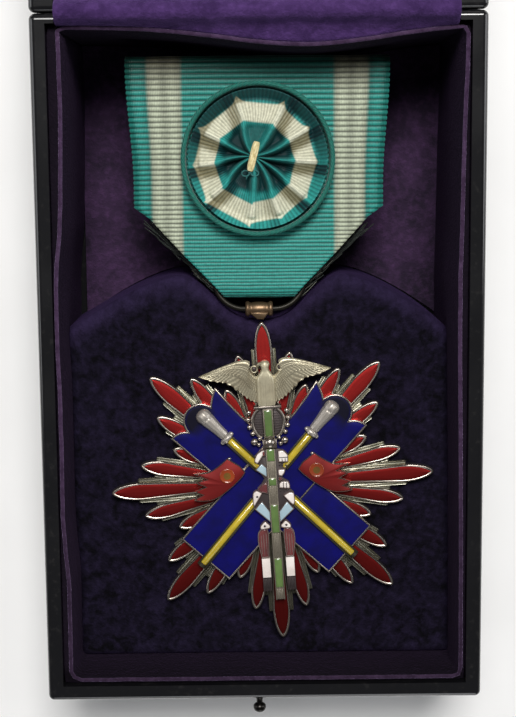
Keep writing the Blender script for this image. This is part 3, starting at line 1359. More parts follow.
def make_suspension():
    """Wire loop through the barrel and inside the ribbon's point, and the barrel with its tongue."""
    low, high = (6.8, 19.25), (15.0, 18.1)
    half = math.dist(low, high) / 2
    reach = 6.2 - half
    bend = span(0, math.pi, 22)[1:-1]
    path = [(x, -half) for x in span(-reach, reach, 6)]
    path += [(reach + half * math.sin(a), -half * math.cos(a)) for a in bend]
    path += [(x, half) for x in span(reach, -reach, 6)]
    path += [(-reach - half * math.sin(a), half * math.cos(a)) for a in bend]
    lean = math.atan2(low[1] - high[1], high[0] - low[0])
    place = moved(-0.2, (low[0] + high[0]) / 2, (low[1] + high[1]) / 2) @ Matrix.Rotation(-lean, 4, "X")
    loop = Shape().add(*swept([(x, y, 0) for x, y in path], 0.38, 12, closed=True))
    settle(write(loop, "ring_wire", "dark copper", place=place), "copper_wire", "suspension_ring")
    bore, end, body = 0.6, 1.9, 1.05
    profile = [(-0.99, bore / body), (-1.0, 0.75), (-0.96, 0.92), (-0.88, 1.0), (-0.76, 1.0), (-0.68, 0.86),
               (-0.58, 0.8), (-0.48, 0.86), (-0.2, 0.93)]
    profile += [(-s, r) for s, r in reversed(profile)]
    rings = [[(s * end, r * body * math.cos(a), r * body * math.sin(a)) for a in circle(32)]
             for s, r in profile]
    barrel = Shape().add(*loft(rings + [rings[0]], caps=False), place=moved(-0.25, *low))
    lug = [(-0.5, 5.4), (0.35, 5.4), (0.95, 6.15), (0.95, 6.4), (-1.4, 6.4), (-1.4, 6.15)]
    barrel.add(*plate(lug, BED_Z + 0.1, BED_Z + 0.7, 0.15))
    settle(write(barrel, "barrel", "copper", sharp=45), "copper_wire", "eyelet")


# Badge

MIRROR = Matrix.Diagonal((-1, 1, 1, 1))
STAR_T, RIM_T = 0.9, 0.4
SHIELD_Z, TOP_Z = 1.35, 2.1
STAFF_TURN, STAFF_Y = 47.2, 0.6
# Tip radius, half width and length of the arched end of each kind of ray
MAIN, FLANK, SHORT = (22.5, 1.2, 4.0), (18.5, 1.02, 3.2), (14.6, 0.98, 2.6)
RAY_TAPER = 0.05


def badge_piece(shape, name, *finishes, place=BADGE_PLACE, sharp=45):
    """Writes a piece that is laid out from the star's middle."""
    return write(shape, name, *finishes, place=place, sharp=sharp)


def ray_outline(ray, depth):
    """Outline of one ray along X, moved in by depth: widening slowly, then closing in a pointed arch."""
    tip, half, arch = ray
    top = tip - 1.35 * depth

    def width(r):
        if r < top - arch:
            return max(0.0, half - RAY_TAPER * (top - arch - r) - depth)
        return max(0.0, half * max(0.0, 1 - ((r - top + arch) / arch) ** 2) ** 0.55 - 0.95 * depth)

    radii = [5 + depth, 8, 11] + [top - arch * (1 - math.sin(math.radians(9 * i))) for i in range(10)]
    side = [(r, -max(width(r), 0.012)) for r in radii]
    return side + [(top, 0.0)] + [(x, -y) for x, y in reversed(side)]


def ray_solid(ray, steps):
    points, faces = stepped(lambda d: ray_outline(ray, d), steps)
    return points, faces, [(p[1] / 10 + 0.5, p[0] / 25) for p in points]


def ribbed_bar(half, end, top):
    """Blunt bar along X with fine ribs running along it."""
    pitch = 0.34
    across = span(-half, half, 60)
    rings = []
    for x, shrink, drop in ((5, 1, 0), (end - 0.25, 1, 0), (end - 0.08, 0.97, 0.06), (end, 0.9, 0.2)):
        ring = [(x, y * shrink, top - drop - 0.15 * (1 - abs(math.cos(math.pi * y / pitch))))
                for y in reversed(across)]
        rings.append([(x, -half * shrink, 0.02), (x, half * shrink, 0.02)] + ring)
    return loft(rings)


def around(shape, name, finish, count=8):
    """Repeats a sector's pieces round the star's middle and lays them on the bed."""
    ob = write(shape, name, finish, sharp=38)
    grow(ob, group(around_tree), Count=count, Step=2 * math.pi / count, Material=finish_of(finish))
    ob.data.transform(Matrix.Translation(BADGE_PLACE.translation * MM) @ BADGE_PLACE.to_3x3().to_4x4())
    return ob


def make_star():
    """Silver star: pierced and bordered rays over ribbed bars, all one casting, and their red enamel."""
    part = looks().badge
    wall = part.border / MM
    edge = wall + 0.01
    metal_part, glass, bars = Shape(), Shape(), Shape()
    for ray, turn, drop in ((MAIN, 0, 0), (FLANK, 11.25, 0.02), (FLANK, -11.25, 0.02), (SHORT, 22.5, 0.04)):
        place = turned_by(turn)
        top = STAR_T + RIM_T - drop
        metal_part.add(*ray_solid(ray, border_steps(wall, 0, STAR_T, top)), place=place)
        glass.add(*ray_solid(ray, [(edge, STAR_T + 0.01), (edge, top - 0.07), (edge + 0.1, top - 0.058),
                                   (edge + 0.26, top - 0.045), (edge + 0.42, top - 0.04)]), place=place)
    for half, end, turn, top in ((1.7, 18.8, 0, 0.74), (1.42, 16.5, 11.25, 0.68), (1.42, 16.5, -11.25, 0.68)):
        bars.add(*ribbed_bar(half, end, top), place=turned_by(turn))
    settle(around(metal_part, "star_silver", "silver", part.rays), "silver", "star_plate")
    settle(around(bars, "star_bars", "bar silver", part.rays), "silver", "star_plate")
    fields = [f"{kind}_enamel_{i}" for kind in ("ray", "flank") for i in range(1, 9)] + ["short_enamels"]
    settle(around(glass, "ray_glass", "red enamel", part.rays), "red_enamel", *fields)


def shield_outline(low, high=None):
    """A shield's outline along Y; high cuts it off straight, for the part under the other one."""
    half = 4.5
    if high is not None:
        return ccw([(half, low), (half, high), (-half, high), (-half, low)])
    lobe = arc(-0.15, 13.3, 2.45, 2.45, 11.3, 171, 22)
    out = [(half, low)] + bent((half, 14.77), (3.1, 14.85), lobe[0], 6) + lobe
    out += bent(lobe[-1], (-3.6, 14.45), (-5.0, 14.9), 6)[1:]
    return ccw(out + [(-5.0, 14.9), (-4.6, 12.0), (-4.37, 9.5), (-4.4, low)])


def make_shields():
    """Two crossed shields in one silver frame, the right one unbroken, and their blue enamel."""
    wall = looks().badge.border / MM + 0.02
    left, right = turned_by(45) @ MIRROR, turned_by(-45)
    foot, rim = -14.4, 4.5 - wall
    metal_part = Shape()
    for word, place, outline, drop in (("right", right, shield_outline(foot), 0.0),
                                       ("upper", left, shield_outline(rim), 0.03),
                                       ("lower", left, shield_outline(foot, -rim), 0.03)):
        metal_part.add(*tray(outline, wall, SHIELD_Z, SHIELD_Z + 0.38, SHIELD_Z + 0.7 - drop), place=place)
        points, faces = cushion(inset(outline, wall + 0.01), SHIELD_Z + 0.39, SHIELD_Z + 0.58 - drop, 0.06)
        field = Shape().add(points, faces, [(p[0] / 10, p[1] / 10) for p in points], place=place)
        glass = badge_piece(field, "shield_glass_" + word, "blue enamel")
        settle(glass, "blue_enamel", "shield_enamel_right" if word == "right" else "shield_enamel_left")
    settle(badge_piece(metal_part, "shield_silver", "silver"), "silver", "shields_frame")


def staff_place(side):
    turn = STAFF_TURN if side > 0 else 180 - STAFF_TURN
    return BADGE_PLACE @ moved(0, STAFF_Y, TOP_Z) @ turned_by(turn)


def make_staffs():
    """Two staffs: tapered silver club heads, knobbed collars and yellow shafts with thin metal edges."""
    head = [(9.04, 0.01), (9.05, 0.66), (9.3, 0.74), (10.2, 0.78), (11.2, 0.88), (12.1, 1.0), (12.35, 1.02),
            (12.45, 0.96), (12.6, 1.04), (13.1, 1.08), (13.5, 0.98), (13.75, 0.78), (13.92, 0.45),
            (13.98, 0.01)]
    collar = [(8.21, 0.01), (8.22, 0.7), (8.32, 0.92), (8.5, 1.04), (8.72, 1.06), (8.88, 0.95), (9.0, 0.76),
              (9.04, 0.01)]
    ferrule = [(-15.86, 0.01), (-15.85, 0.5), (-15.8, 0.62), (-15.35, 0.62), (-15.3, 0.5), (-15.29, 0.01)]
    knobs = ((8.6, -0.86, 0.3, 0.3), (8.6, 0.86, 0.3, 0.3), (8.35, 0.35, 0.85, 0.2), (8.85, -0.3, 0.9, 0.2))
    for side, word in ((-1, "left"), (1, "right")):
        place = staff_place(side)
        club = Shape().add(*turned(head, 20, math.pi, 10, 0.06)).add(*turned(collar, 20, math.pi))
        for *centre, radius in knobs:
            club.add(*ball(centre, radius))
        ob = badge_piece(club, f"staff_club_{word}", "grey silver", place=place, sharp=50)
        settle(ob, "grey_silver", f"staff_head_{word}")
        rod = Shape()
        for low, high in ((2.4, 8.15), (-15.8, -3.8)):
            profile = [(low, 0.01), (low + 0.01, 0.42), (low + 0.08, 0.48), (high - 0.08, 0.48),
                       (high - 0.01, 0.42), (high, 0.01)]
            rod.add(*turned(profile, 18, math.pi))
            for y in (-0.6, 0.6):
                rod.add(*plate(box(low, y - 0.12, high, y + 0.12), 0.0, 0.3, 0.05), kind=1)
        rod.add(*turned(ferrule, 18, math.pi), kind=1)
        ob = badge_piece(rod, f"staff_shaft_{word}", "yellow enamel", "olive metal", place=place, sharp=50)
        settle(ob, "yellow_enamel", f"shaft_{word}")


# Left banner, (x, y) or (x, y, sharp): upper edge, four flames, lower edge and inner edge
BANNER = [(-5.99, 4.15, 1), (-6.89, 3.42), (-7.63, 2.9), (-8.37, 2.47), (-9.23, 2.25), (-10.92, 2.3, 1),
          (-9.97, 1.81), (-8.95, 1.33, 1), (-9.73, 1.22), (-10.58, 0.87, 1), (-9.85, 0.56), (-9.24, 0.27, 1),
          (-9.96, 0.08), (-10.86, -0.26, 1), (-10.3, -0.62), (-9.67, -0.81, 1), (-10.55, -1.15),
          (-11.05, -1.52, 1), (-9.96, -1.72), (-8.54, -1.67), (-7.37, -1.24), (-5.59, 0.01), (-4.23, 1.21),
          (-3.64, 1.96, 1), (-4.25, 2.87), (-5.19, 3.51)]


def make_banners():
    """Red banners with flame edges over the shields, each with a small round crest."""
    outline = ccw(rounded(BANNER, 0.35, 3))
    profile = [(1.05, 0.45), (1.03, 0.62), (0.94, 0.67), (0.84, 0.62), (0.8, 0.6), (0.5, 0.66), (0.28, 0.6),
               (0.1, 0.64)]
    crest = [[(-6.2 + r * math.cos(a), 1.65 + r * math.sin(a), TOP_Z + z) for a in circle(32)]
             for r, z in profile]
    for word, place in (("left", BADGE_PLACE), ("right", BADGE_PLACE @ MIRROR)):
        frame_part = Shape().add(*tray(outline, 0.11, TOP_Z, TOP_Z + 0.33, TOP_Z + 0.6))
        frame_part.add(*ball((-5.75, 4.05, TOP_Z + 0.5), 0.26))
        ob = badge_piece(frame_part, f"banner_silver_{word}", "silver", place=place)
        settle(ob, "silver", f"banner_{word}")
        glass = Shape().add(*cushion(inset(outline, 0.12), TOP_Z + 0.34, TOP_Z + 0.5, 0.04, 0.05))
        ob = badge_piece(glass, f"banner_glass_{word}", "banner enamel", place=place)
        settle(ob, "red_enamel", f"banner_enamel_{word}")
        disc = Shape().add(*loft(crest))
        disc.kinds = [1 if k >= 5 * 32 else 0 for k in range(len(disc.faces))]
        ob = badge_piece(disc, f"crest_{word}_glass", "orange enamel", "brown enamel", place=place, sharp=60)
        settle(ob, "orange_enamel", f"crest_{word}")


def mirrored(points):
    return [(-p[0], *p[1:]) for p in points]


def wing_edges(u):
    """Leading and trailing edge of the left wing at a share u from the body to the tip."""
    lead = [(-0.75, 15.2), (-1.35, 15.35), (-1.95, 16.0), (-2.15, 16.7), (-1.95, 17.25), (-2.5, 17.6),
            (-3.6, 17.55), (-5.3, 17.1), (-7.2, 16.45), (-9.1, 15.78)]
    trail = [(-0.55, 11.35), (-1.2, 11.5), (-1.9, 11.75), (-2.65, 12.2), (-3.4, 12.85), (-4.0, 13.4),
             (-5.3, 14.45), (-6.3, 14.75), (-7.6, 15.05), (-9.1, 15.72)]
    return at_share(lead, u), at_share(trail, u)


def at_share(points, u):
    """Place at a share of the way along a smooth curve through points."""
    k = u * (len(points) - 1)
    i = min(int(k), len(points) - 2)
    f = k - i
    four = [points[max(0, min(len(points) - 1, i + d))] for d in (-1, 0, 1, 2)]
    return tuple(0.5 * (2 * q + (r - p) * f + (2 * p - 5 * q + 4 * r - s) * f * f
                        + (3 * q - p - 3 * r + s) * f ** 3) for p, q, r, s in zip(*four))


def feather_height(u, v):
    """Relief of the wing: small scales near the leading edge, then two rows of long leaning feathers."""
    if v < 0.3:
        rows = v / 0.3 * 5
        cols = u * 24 + 0.5 * (int(rows) % 2)
        return 0.05 * (rows % 1) + 0.03 * abs(math.sin(math.pi * cols))
    row, share = (1, (v - 0.3) / 0.27) if v < 0.57 else (2, (v - 0.57) / 0.43)
    line = (u - 0.22 * v) * (24 if row == 1 else 20) % 1
    vane = math.sin(math.pi * line) ** 0.5
    barb = 0.012 * math.sin(2 * math.pi * (v * 34 + abs(line - 0.5) * 3))
    shaft = 0.025 * math.exp(-((line - 0.5) / 0.08) ** 2)
    rim = 0.08 * smooth((v - 0.93) / 0.05)
    return 0.06 * vane * (0.7 + 0.3 * share) + barb + shaft + rim - (0.04 if row == 2 else 0.0)


def back_ridges(x):
    """Lengthwise ridges of the bird's back and tail: a bright one each side and fine lines between them."""
    side = 0.12 * math.exp(-((abs(x) - 1.08) / 0.14) ** 2) - 0.09 * math.exp(-((abs(x) - 0.78) / 0.1) ** 2)
    return side + (0.035 * math.cos(2 * math.pi * x / 0.3) if abs(x) < 0.66 else 0.0)


def make_bird():
    """Spread-winged bird: feathered wings, breast, neck, head with beak and eye, and a fanned tail."""
    def at(u, v):
        (ax, ay), (bx, by) = wing_edges(u)
        notch = 0.12 * (1 - abs(math.sin(math.pi * u * 13))) if v > 0.97 and 0.05 < u < 0.95 else 0
        x, y = ax + (bx - ax) * (v - notch), ay + (by - ay) * (v - notch)
        arch = 0.35 * math.sin(math.pi * min(1, u * 1.15)) * (1 - v) ** 0.8
        edge = smooth(min(v, 1 - v, 1 - u) * 14)
        return (x, y, 2.62 + (arch + feather_height(u, v)) * (0.35 + 0.65 * edge)), (x, y, 2.32)

    wing, faces = panel(span(0, 1, 96), span(0, 1, 44), at)
    bird = Shape().add(wing, faces).add(mirrored(wing), faces)
    # Each row: place along the bird, half width and height of the back, neck and head
    body = [(11.18, 1.1, 0.34), (11.4, 1.26, 0.42), (12.2, 1.28, 0.5), (13.0, 1.28, 0.6), (13.8, 1.3, 0.72),
            (14.6, 1.32, 0.85), (15.1, 1.22, 0.95), (15.5, 0.98, 0.98), (15.9, 0.68, 0.98), (16.25, 0.5, 1.0),
            (16.6, 0.52, 1.05), (16.95, 0.68, 1.08), (17.25, 0.56, 1.0), (17.45, 0.3, 0.85),
            (17.5, 0.05, 0.75)]
    rings = []
    for y, w, h in body:
        ring = []
        for a in circle(72):
            up, x = math.sin(a), w * math.cos(a)
            detail = back_ridges(x) if y < 15.2 else 0.03 * math.sin(y * 11 + 3 * abs(math.cos(a)))
            rise = h * 1.15 * up ** 0.55 + detail * min(1, up * 3) if up > 0 else 0.45 * up
            ring.append((x + 0.015 * (y - 14), y, 2.75 + rise))
        rings.append(ring[::-1])
    bird.add(*loft(rings), kind=2)
    beak = [(-0.4, 17.1, 3.4), (-0.75, 17.05, 3.35), (-0.95, 16.85, 3.2), (-0.93, 16.5, 3.0)]
    bird.add(*swept(beak, [0.3, 0.26, 0.2, 0.05], 10))
    bird.add(*ball((-0.4, 17.12, 3.62), 0.12, 6, 9))
    # Rings beside the neck, each round a dark knob, and one knob without a ring
    for x, y, r in ((-1.44, 16.32, 0.42), (2.08, 16.41, 0.4)):
        ring = [(x + r * math.cos(a), y + 1.1 * r * math.sin(a), 2.85) for a in circle(20)]
        bird.add(*swept(ring, 0.12, 8, closed=True))
        bird.add(*ball((x, y, 2.62), r - 0.06, 6, 14, 0.5), kind=1)
    bird.add(*ball((-0.66, 16.52, 2.62), 0.28, 6, 14, 0.5), kind=1)
    settle(badge_piece(bird, "bird", "gilt", "dark silver", "rubbed gilt", sharp=50), "silver_gilt", "kite")


def make_guard():
    """Beaded oval guard: bar, ring, beads down both sides, knob cluster and a dark hatched ground."""
    frame_part = Shape().add(*plate(box(-1.85, 10.74, 1.9, 11.12), 1.4, 2.95, 0.09))
    for side in (1, -1):
        ring = [(side * x, y, 2.45) for x, y in arc(0, 8.75, 2.2, 2.35, -62, 62, 30)]
        frame_part.add(*swept(ring, 0.24, 10))
    frame_part.add(*ball((0, 6.0, 3.05), 0.78, 12, 20, 0.85))
    frame_part.add(*plate([(-0.95, 5.15), (0.95, 5.15), (1.02, 6.5), (-1.02, 6.5)], TOP_Z, 2.9, 0.2))
    ground = Shape()
    for side in (1, -1):
        edge = [(side * x, y) for x, y in arc(0, 8.75, 2.05, 2.2, -64, 64, 24)]
        ground.add(*plate(edge + [(side * 0.78, 10.65), (side * 0.78, 6.7)], TOP_Z, TOP_Z + 0.2, 0.03))
        for y in span(7.2, 10.3, 9):
            start, end = side * 0.8, side * 2.0 * math.sqrt(max(0.05, 1 - ((y - 8.75) / 2.2) ** 2))
            hatch = [(start, y - 0.06), (end, y + 0.02), (end, y + 0.14), (start, y + 0.06)]
            ground.add(*plate(hatch, TOP_Z + 0.19, TOP_Z + 0.27, 0.02))
    frame_part.join(ground, kind=1)
    settle(badge_piece(frame_part, "guard_silver", "silver", "dark silver", sharp=50), "silver", "guard")
    beads = [(2.62, 10.3, 2.5, 0.36), (2.78, 9.3, 2.5, 0.37), (2.62, 8.27, 2.5, 0.37),
             (2.25, 7.35, 2.5, 0.36), (2.1, 6.2, 2.62, 0.5), (1.5, 5.75, 2.5, 0.34), (1.35, 6.6, 2.7, 0.3)]
    places = [tuple(BADGE_PLACE @ Vector((side * x, y, z)) * MM) for side in (-1, 1) for x, y, z, _ in beads]
    sizes = [r * MM for *_, r in beads] * 2
    ob = grow(point_object("guard_beads", places, size=sizes), bead_tree(), Material=finish_of("silver"))
    settle(ob, "silver")


def make_sword():
    """Blade and grip: a bar with raised edges, wrapped where it shows metal, and its green panels."""
    bar = Shape()
    pieces = [(6.65, 10.68, TOP_Z, 0.7), (7.3, 10.66, 1.4, 0.69), (-16.4, 5.05, TOP_Z, 0.64),
              (-16.38, -7.3, 1.4, 0.63)]
    for low, high, bottom, half in pieces:
        top = TOP_Z + 0.72 if bottom == TOP_Z else TOP_Z + 0.4
        bar.add(*plate(box(-half, low, half, high), bottom, top, 0.06))
    for low, high, out in ((6.65, 10.68, 0.62), (-16.4, 5.05, 0.57)):
        for x in (-out, out):
            bar.add(*plate(box(x - 0.06, low, x + 0.06, high), TOP_Z + 0.7, TOP_Z + 0.98, 0.04))
    for low, high in ((1.1, 3.2), (-2.6, -0.1), (-10.4, -6.9), (-16.3, -14.9)):
        for x in (-0.33, -0.11, 0.11, 0.33):
            bar.add(*plate(box(x - 0.075, low, x + 0.075, high), TOP_Z + 0.7, TOP_Z + 0.82, 0.05))
    settle(badge_piece(bar, "sword_bar", "grip metal"), "grey_silver", "sword")
    panels = Shape()
    for low, high in ((6.9, 10.5), (3.4, 5.0), (-0.04, 0.93), (-6.75, -2.85), (-14.6, -10.5)):
        panels.add(*cushion(box(-0.49, low, 0.49, high), TOP_Z + 0.74, TOP_Z + 0.88, 0.12, 0.25))
    settle(badge_piece(panels, "sword_panels", "green enamel", sharp=50), "green_enamel", "sword_enamel")


# Enamel cells of the wound cords, left side then right: colour and corners, each (x, y) or (x, y, sharp)
LEFT_CELLS = [
    ("white", [(-2.39, 3.42), (-1.95, 4.5), (-1.12, 5.0), (-0.75, 5.0, 1), (-0.8, 4.45, 1), (-1.2, 4.0),
               (-1.85, 3.05)]),
    ("pale blue", [(-1.34, 3.15, 1), (-0.65, 2.45, 1), (-0.65, 1.0, 1), (-2.26, 2.25, 1)]),
    ("maroon", [(-0.7, 0.55, 1), (-0.7, -1.2, 1), (-1.3, -1.05), (-1.75, -0.98), (-2.25, -0.45),
                (-1.5, 0.2)]),
    ("white", [(-2.87, -0.95), (-2.3, -0.58), (-1.5, -1.05, 1), (-2.1, -2.0), (-2.74, -2.95), (-2.95, -2.5)]),
    ("pale blue", [(-1.65, -2.2, 1), (-0.6, -3.8, 1), (-0.6, -5.4, 1), (-2.72, -3.32, 1)])]
RIGHT_CELLS = [
    ("white", [(1.0, 4.8, 1), (1.75, 4.87), (2.43, 4.1), (2.36, 3.09, 1), (1.0, 3.15, 1)]),
    ("white", [(0.85, 2.19, 1), (1.92, 2.15), (1.78, 1.62), (1.36, 1.1), (0.85, 1.3, 1)]),
    ("maroon", [(0.9, 1.2), (1.56, 0.78), (1.1, 0.5), (0.78, 0.6)]),
    ("white", [(0.85, 0.1, 1), (1.25, 0.5), (2.18, 0.45), (2.4, -0.15), (2.36, -0.7), (0.85, -0.5, 1)]),
    ("white", [(1.35, -1.6, 1), (2.2, -1.1), (2.9, -1.25), (2.95, -2.6), (2.75, -3.0), (2.45, -2.95)]),
    ("pale blue", [(1.8, -2.4, 1), (0.6, -3.85, 1), (0.6, -5.5, 1), (2.75, -3.6, 1)])]
BOTH_CELLS = [("white", [(-1.44, -5.0), (-0.7, -5.75, 1), (-0.78, -6.15), (-2.12, -6.3), (-2.19, -5.76)])]
# Dark metal between the cells, and the thin wires and studs set into them
CORD_GROUND = [[(-0.6, 5.0), (-1.1, 4.9), (-2.2, 4.0), (-2.2, 2.6), (-1.1, 0.9), (-1.85, -0.3), (-2.85, -1.2),
                (-2.9, -2.6), (-2.6, -3.4), (-0.6, -5.3)],
               [(0.6, 5.0), (1.5, 4.9), (2.35, 3.9), (2.3, 2.6), (1.9, 1.9), (1.4, 0.9), (2.3, 0.3),
                (2.3, -0.7), (2.85, -1.2), (2.75, -2.7), (2.55, -3.4), (0.6, -5.3)]]
WIRES = [(1.2, 3.8, 2.3, 3.8), (1.53, 3.05, 1.53, 3.6), (1.96, 3.05, 1.96, 3.6), (1.47, -0.5, 1.47, 0.5),
         (1.9, -0.55, 1.9, 0.6)]
STUDS = [(1.14, 2.7, 0.13), (1.53, 2.66, 0.13), (2.0, 2.6, 0.13), (1.04, -0.92, 0.12), (1.52, -0.92, 0.12),
         (1.99, -0.92, 0.12), (-2.26, -1.51, 0.16), (-1.5, -5.75, 0.17), (1.5, -5.75, 0.17)]


def breadth(outline):
    """About the radius of the largest circle inside an outline: twice its area over its length."""
    p = np.array(outline, float)
    q = np.roll(p, -1, 0)
    area = abs((p[:, 0] * q[:, 1] - p[:, 1] * q[:, 0]).sum()) / 2
    return 2 * area / np.linalg.norm(q - p, axis=1).sum()


def cell(metal_part, glass, outline, low, high, wall=0.1):
    """One enamel cell: a thin metal rim and a low dome of glass inside it."""
    outline = ccw(rounded(outline, 0.3, 3))
    metal_part.add(*tray(outline, wall, low, high - 0.16, high))
    field = inset(outline, wall + 0.01)
    reach = min(0.14, 0.35 * breadth(field))
    glass.add(*cushion(field, high - 0.17, high - 0.05, 0.45 * reach, reach))


def make_cords():
    """Wound cords beside the sword as rimmed enamel cells, the long streaked pair below and their tassels."""
    high, low_high = TOP_Z + 0.82, TOP_Z + 0.58
    glass = {"white": Shape(), "pale blue": Shape(), "maroon": Shape()}
    rims, ends = Shape(), Shape()
    cells = LEFT_CELLS + RIGHT_CELLS + BOTH_CELLS + [(word, mirrored(points)) for word, points in BOTH_CELLS]
    for word, points in cells:
        cell(rims, glass[word], points, TOP_Z, high - (0.1 if word == "pale blue" else 0.0))
    top_cell = [(-1.15, 4.75), (-0.78, 4.9, 1), (-0.78, 4.2, 1), (-1.1, 4.1)]
    cell(rims, glass["maroon"], top_cell, high - 0.1, high + 0.12, 0.06)
    for points in CORD_GROUND:
        ends.add(*plate(points, TOP_Z, TOP_Z + 0.4, 0.05))
    wide = 0.05
    for x0, y0, x1, y1 in WIRES:
        ends.add(*plate(box(x0 - wide, y0 - wide, x1 + wide, y1 + wide), high - 0.15, high + 0.07, 0.02))
    for x, y, r in STUDS:
        ends.add(*ball((x, y, high + (0.03 if x < 0 or y < -5 else -0.3)), r, 6, 10, 0.6))
    long_cell = [(-2.11, -6.24), (-1.16, -5.98), (-0.98, -7.3), (-1.15, -10.35, 1), (-2.26, -10.35, 1),
                 (-2.64, -8.1), (-2.55, -6.8)]
    for side in (-1, 1):
        points = long_cell if side < 0 else mirrored(long_cell)
        cell(rims, glass["maroon"], points, TOP_Z, low_high, 0.14)
        for x, y0, y1 in ((1.42, -9.9, -6.7), (1.78, -10.0, -6.9), (2.12, -9.8, -7.1)):
            middle = (y0 + y1) / 2
            streak = [(side * x, y, low_high + 0.01 - 0.05 * abs(y - middle) / 1.7) for y in span(y0, y1, 6)]
            rims.add(*swept(streak, 0.055, 6))
        x0, x1 = side * 1.1, side * 2.25
        glass["white"].add(*plate(box(x0, -13.2, x1, -10.5), 1.4, low_high, 0.05))
        for k in range(6):
            x = side * (1.17 + 0.2 * k)
            path = [(x, -13.15, 1.95), (x, -14.0, 2.2), (x * 1.02, -15.35 - 0.1 * (k % 2), 1.85)]
            ends.add(*swept(path, [0.11, 0.12, 0.1], 7))
        ends.add(*plate(box(x0, -15.3, x1, -13.1), 1.4, 1.95, 0.1))
    for word, label in (("white", "white"), ("pale blue", "blue"), ("maroon", "maroon")):
        ob = badge_piece(glass[word], f"cord_{label}_turns", word + " enamel", sharp=60)
        settle(ob, word.replace(" ", "_") + "_enamel", "cord_" + label)
    settle(badge_piece(ends, "tassel_strands", "dark silver", sharp=60), "grey_silver", "tassels")
    settle(badge_piece(rims, "cord_rims", "cord metal", sharp=60), "grey_silver")


# Stage

def make_camera():
    """Camera at the photograph's place: above the case, leaning a little towards the hinge side."""
    tilt, roll, yaw = math.radians(8.15), -0.0097, 0.0035
    ahead = Vector((0, -math.sin(tilt), -math.cos(tilt)))
    up, side = Vector((0, math.cos(tilt), -math.sin(tilt))), Vector((1, 0, 0))
    ahead, side = ahead * math.cos(yaw) + side * math.sin(yaw), side * math.cos(yaw) - ahead * math.sin(yaw)
    side, up = side * math.cos(roll) + up * math.sin(roll), up * math.cos(roll) - side * math.sin(roll)
    data = bpy.data.cameras.new("camera")
    data.sensor_width = 36
    data.lens = 1480 / 717 * 36
    data.clip_start, data.clip_end = 0.01, 10
    ob = linked("camera", data)
    place = Matrix.Translation(Vector((-1.19, 28.97, 222.61)) * MM)
    ob.matrix_world = place @ Matrix((side, up, -ahead)).transposed().to_4x4()
    bpy.context.scene.camera = ob


def area_light(name, place, size, watts, tint):
    """Round lamp at a place in metres, turned to the medal."""
    data = bpy.data.lights.new(name, "AREA")
    data.shape, data.size, data.energy, data.color = "DISK", size, watts, tint
    place = Vector(place)
    turn = (Vector((0, 0, 0.02)) - place).to_track_quat("-Z", "Y").to_matrix().to_4x4()
    linked(name, data).matrix_world = Matrix.Translation(place) @ turn


def make_stage():
    """Pale floor, soft lights, sky and camera."""
    part = looks().stage
    material, tree, shader = blank("table", Roughness=0.45, Coat_Weight=0.2, Coat_Roughness=0.5)
    grain = ranged(tree, speckle(tree, coordinates(tree), 60.0, 5.0), 0.35, 0.65)
    feed(tree, shader.inputs["Base Color"], mixed(tree, grain, part.floor, toned(part.floor, 0.97)))
    mesh = bpy.data.meshes.new("floor")
    mesh.from_pydata([(x, y, -0.0002) for x, y in box(-3, -3, 3, 3)], [], [(0, 1, 2, 3)])
    mesh.materials.append(material)
    linked("floor", mesh)
    world = bpy.data.worlds.new("sky")
    world.use_nodes = True
    wire(world.node_tree, world.node_tree.nodes["Background"],
         {"Color": (0.93, 0.95, 1.0, 1), "Strength": part.sky})
    bpy.context.scene.world = world
    warm, cool = (1.0, 0.985, 0.96), (0.97, 0.98, 1.0)
    area_light("key", (0.06, 0.56, 0.98), 0.4, part.key, warm)
    area_light("gloss", (-0.14, 0.36, 0.97), 0.22, part.key * 0.16, warm)
    area_light("fill_left", (-0.95, 0.1, 0.4), 0.6, part.fill * 0.9, cool)
    area_light("fill_right", (0.95, 0.2, 0.4), 0.6, part.fill * 1.3, cool)
    area_light("fill_front", (0.1, -1.0, 0.35), 0.6, part.fill * 0.9, cool)
    make_camera()
    bpy.context.scene.view_settings.view_transform = "Standard"


# Operators and panel

def paint_packed():
    """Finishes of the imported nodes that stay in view."""
    repaint("black lacquer", "case_base", "lid_shell")
    repaint("brass", "hinge_base_leaf", "hinge_lid_leaf")
    repaint("steel", "hinge_pin", "ribbon_bar")


class MEDAL_OT_case(bpy.types.Operator):
    """Adds the lacquer finish, the catch and the hinge's finish"""
    bl_idname = "medal.case"
    bl_label = "Case"
    bl_options = {"REGISTER", "UNDO"}

    def execute(self, context):
        paint_packed()
        make_catch()
        return {"FINISHED"}


class MEDAL_OT_velvet(bpy.types.Operator):
    """Adds the bed, the walls, the well, the lid's lining and the strip over the hinge"""
    bl_idname = "medal.velvet"
    bl_label = "Velvet"
    bl_options = {"REGISTER", "UNDO"}

    def execute(self, context):
        make_bed()
        make_walls()
        make_well()
        make_lid_lining()
        make_flap()
        return {"FINISHED"}


class MEDAL_OT_ribbon(bpy.types.Operator):
    """Adds the ribbed ribbon and its frayed strands"""
    bl_idname = "medal.ribbon"
    bl_label = "Ribbon"
    bl_options = {"REGISTER", "UNDO"}

    def execute(self, context):
        make_ribbon()
        make_fray()
        return {"FINISHED"}


class MEDAL_OT_rosette(bpy.types.Operator):
    """Adds the folded rosette, its edge cord, stitch bar and knot"""
    bl_idname = "medal.rosette"
    bl_label = "Rosette"
    bl_options = {"REGISTER", "UNDO"}

    def execute(self, context):
        make_rosette()
        make_stitch()
        return {"FINISHED"}


class MEDAL_OT_suspension(bpy.types.Operator):
    """Adds the wire ring and its barrel"""
    bl_idname = "medal.suspension"
    bl_label = "Suspension"
    bl_options = {"REGISTER", "UNDO"}

    def execute(self, context):
        make_suspension()
        return {"FINISHED"}


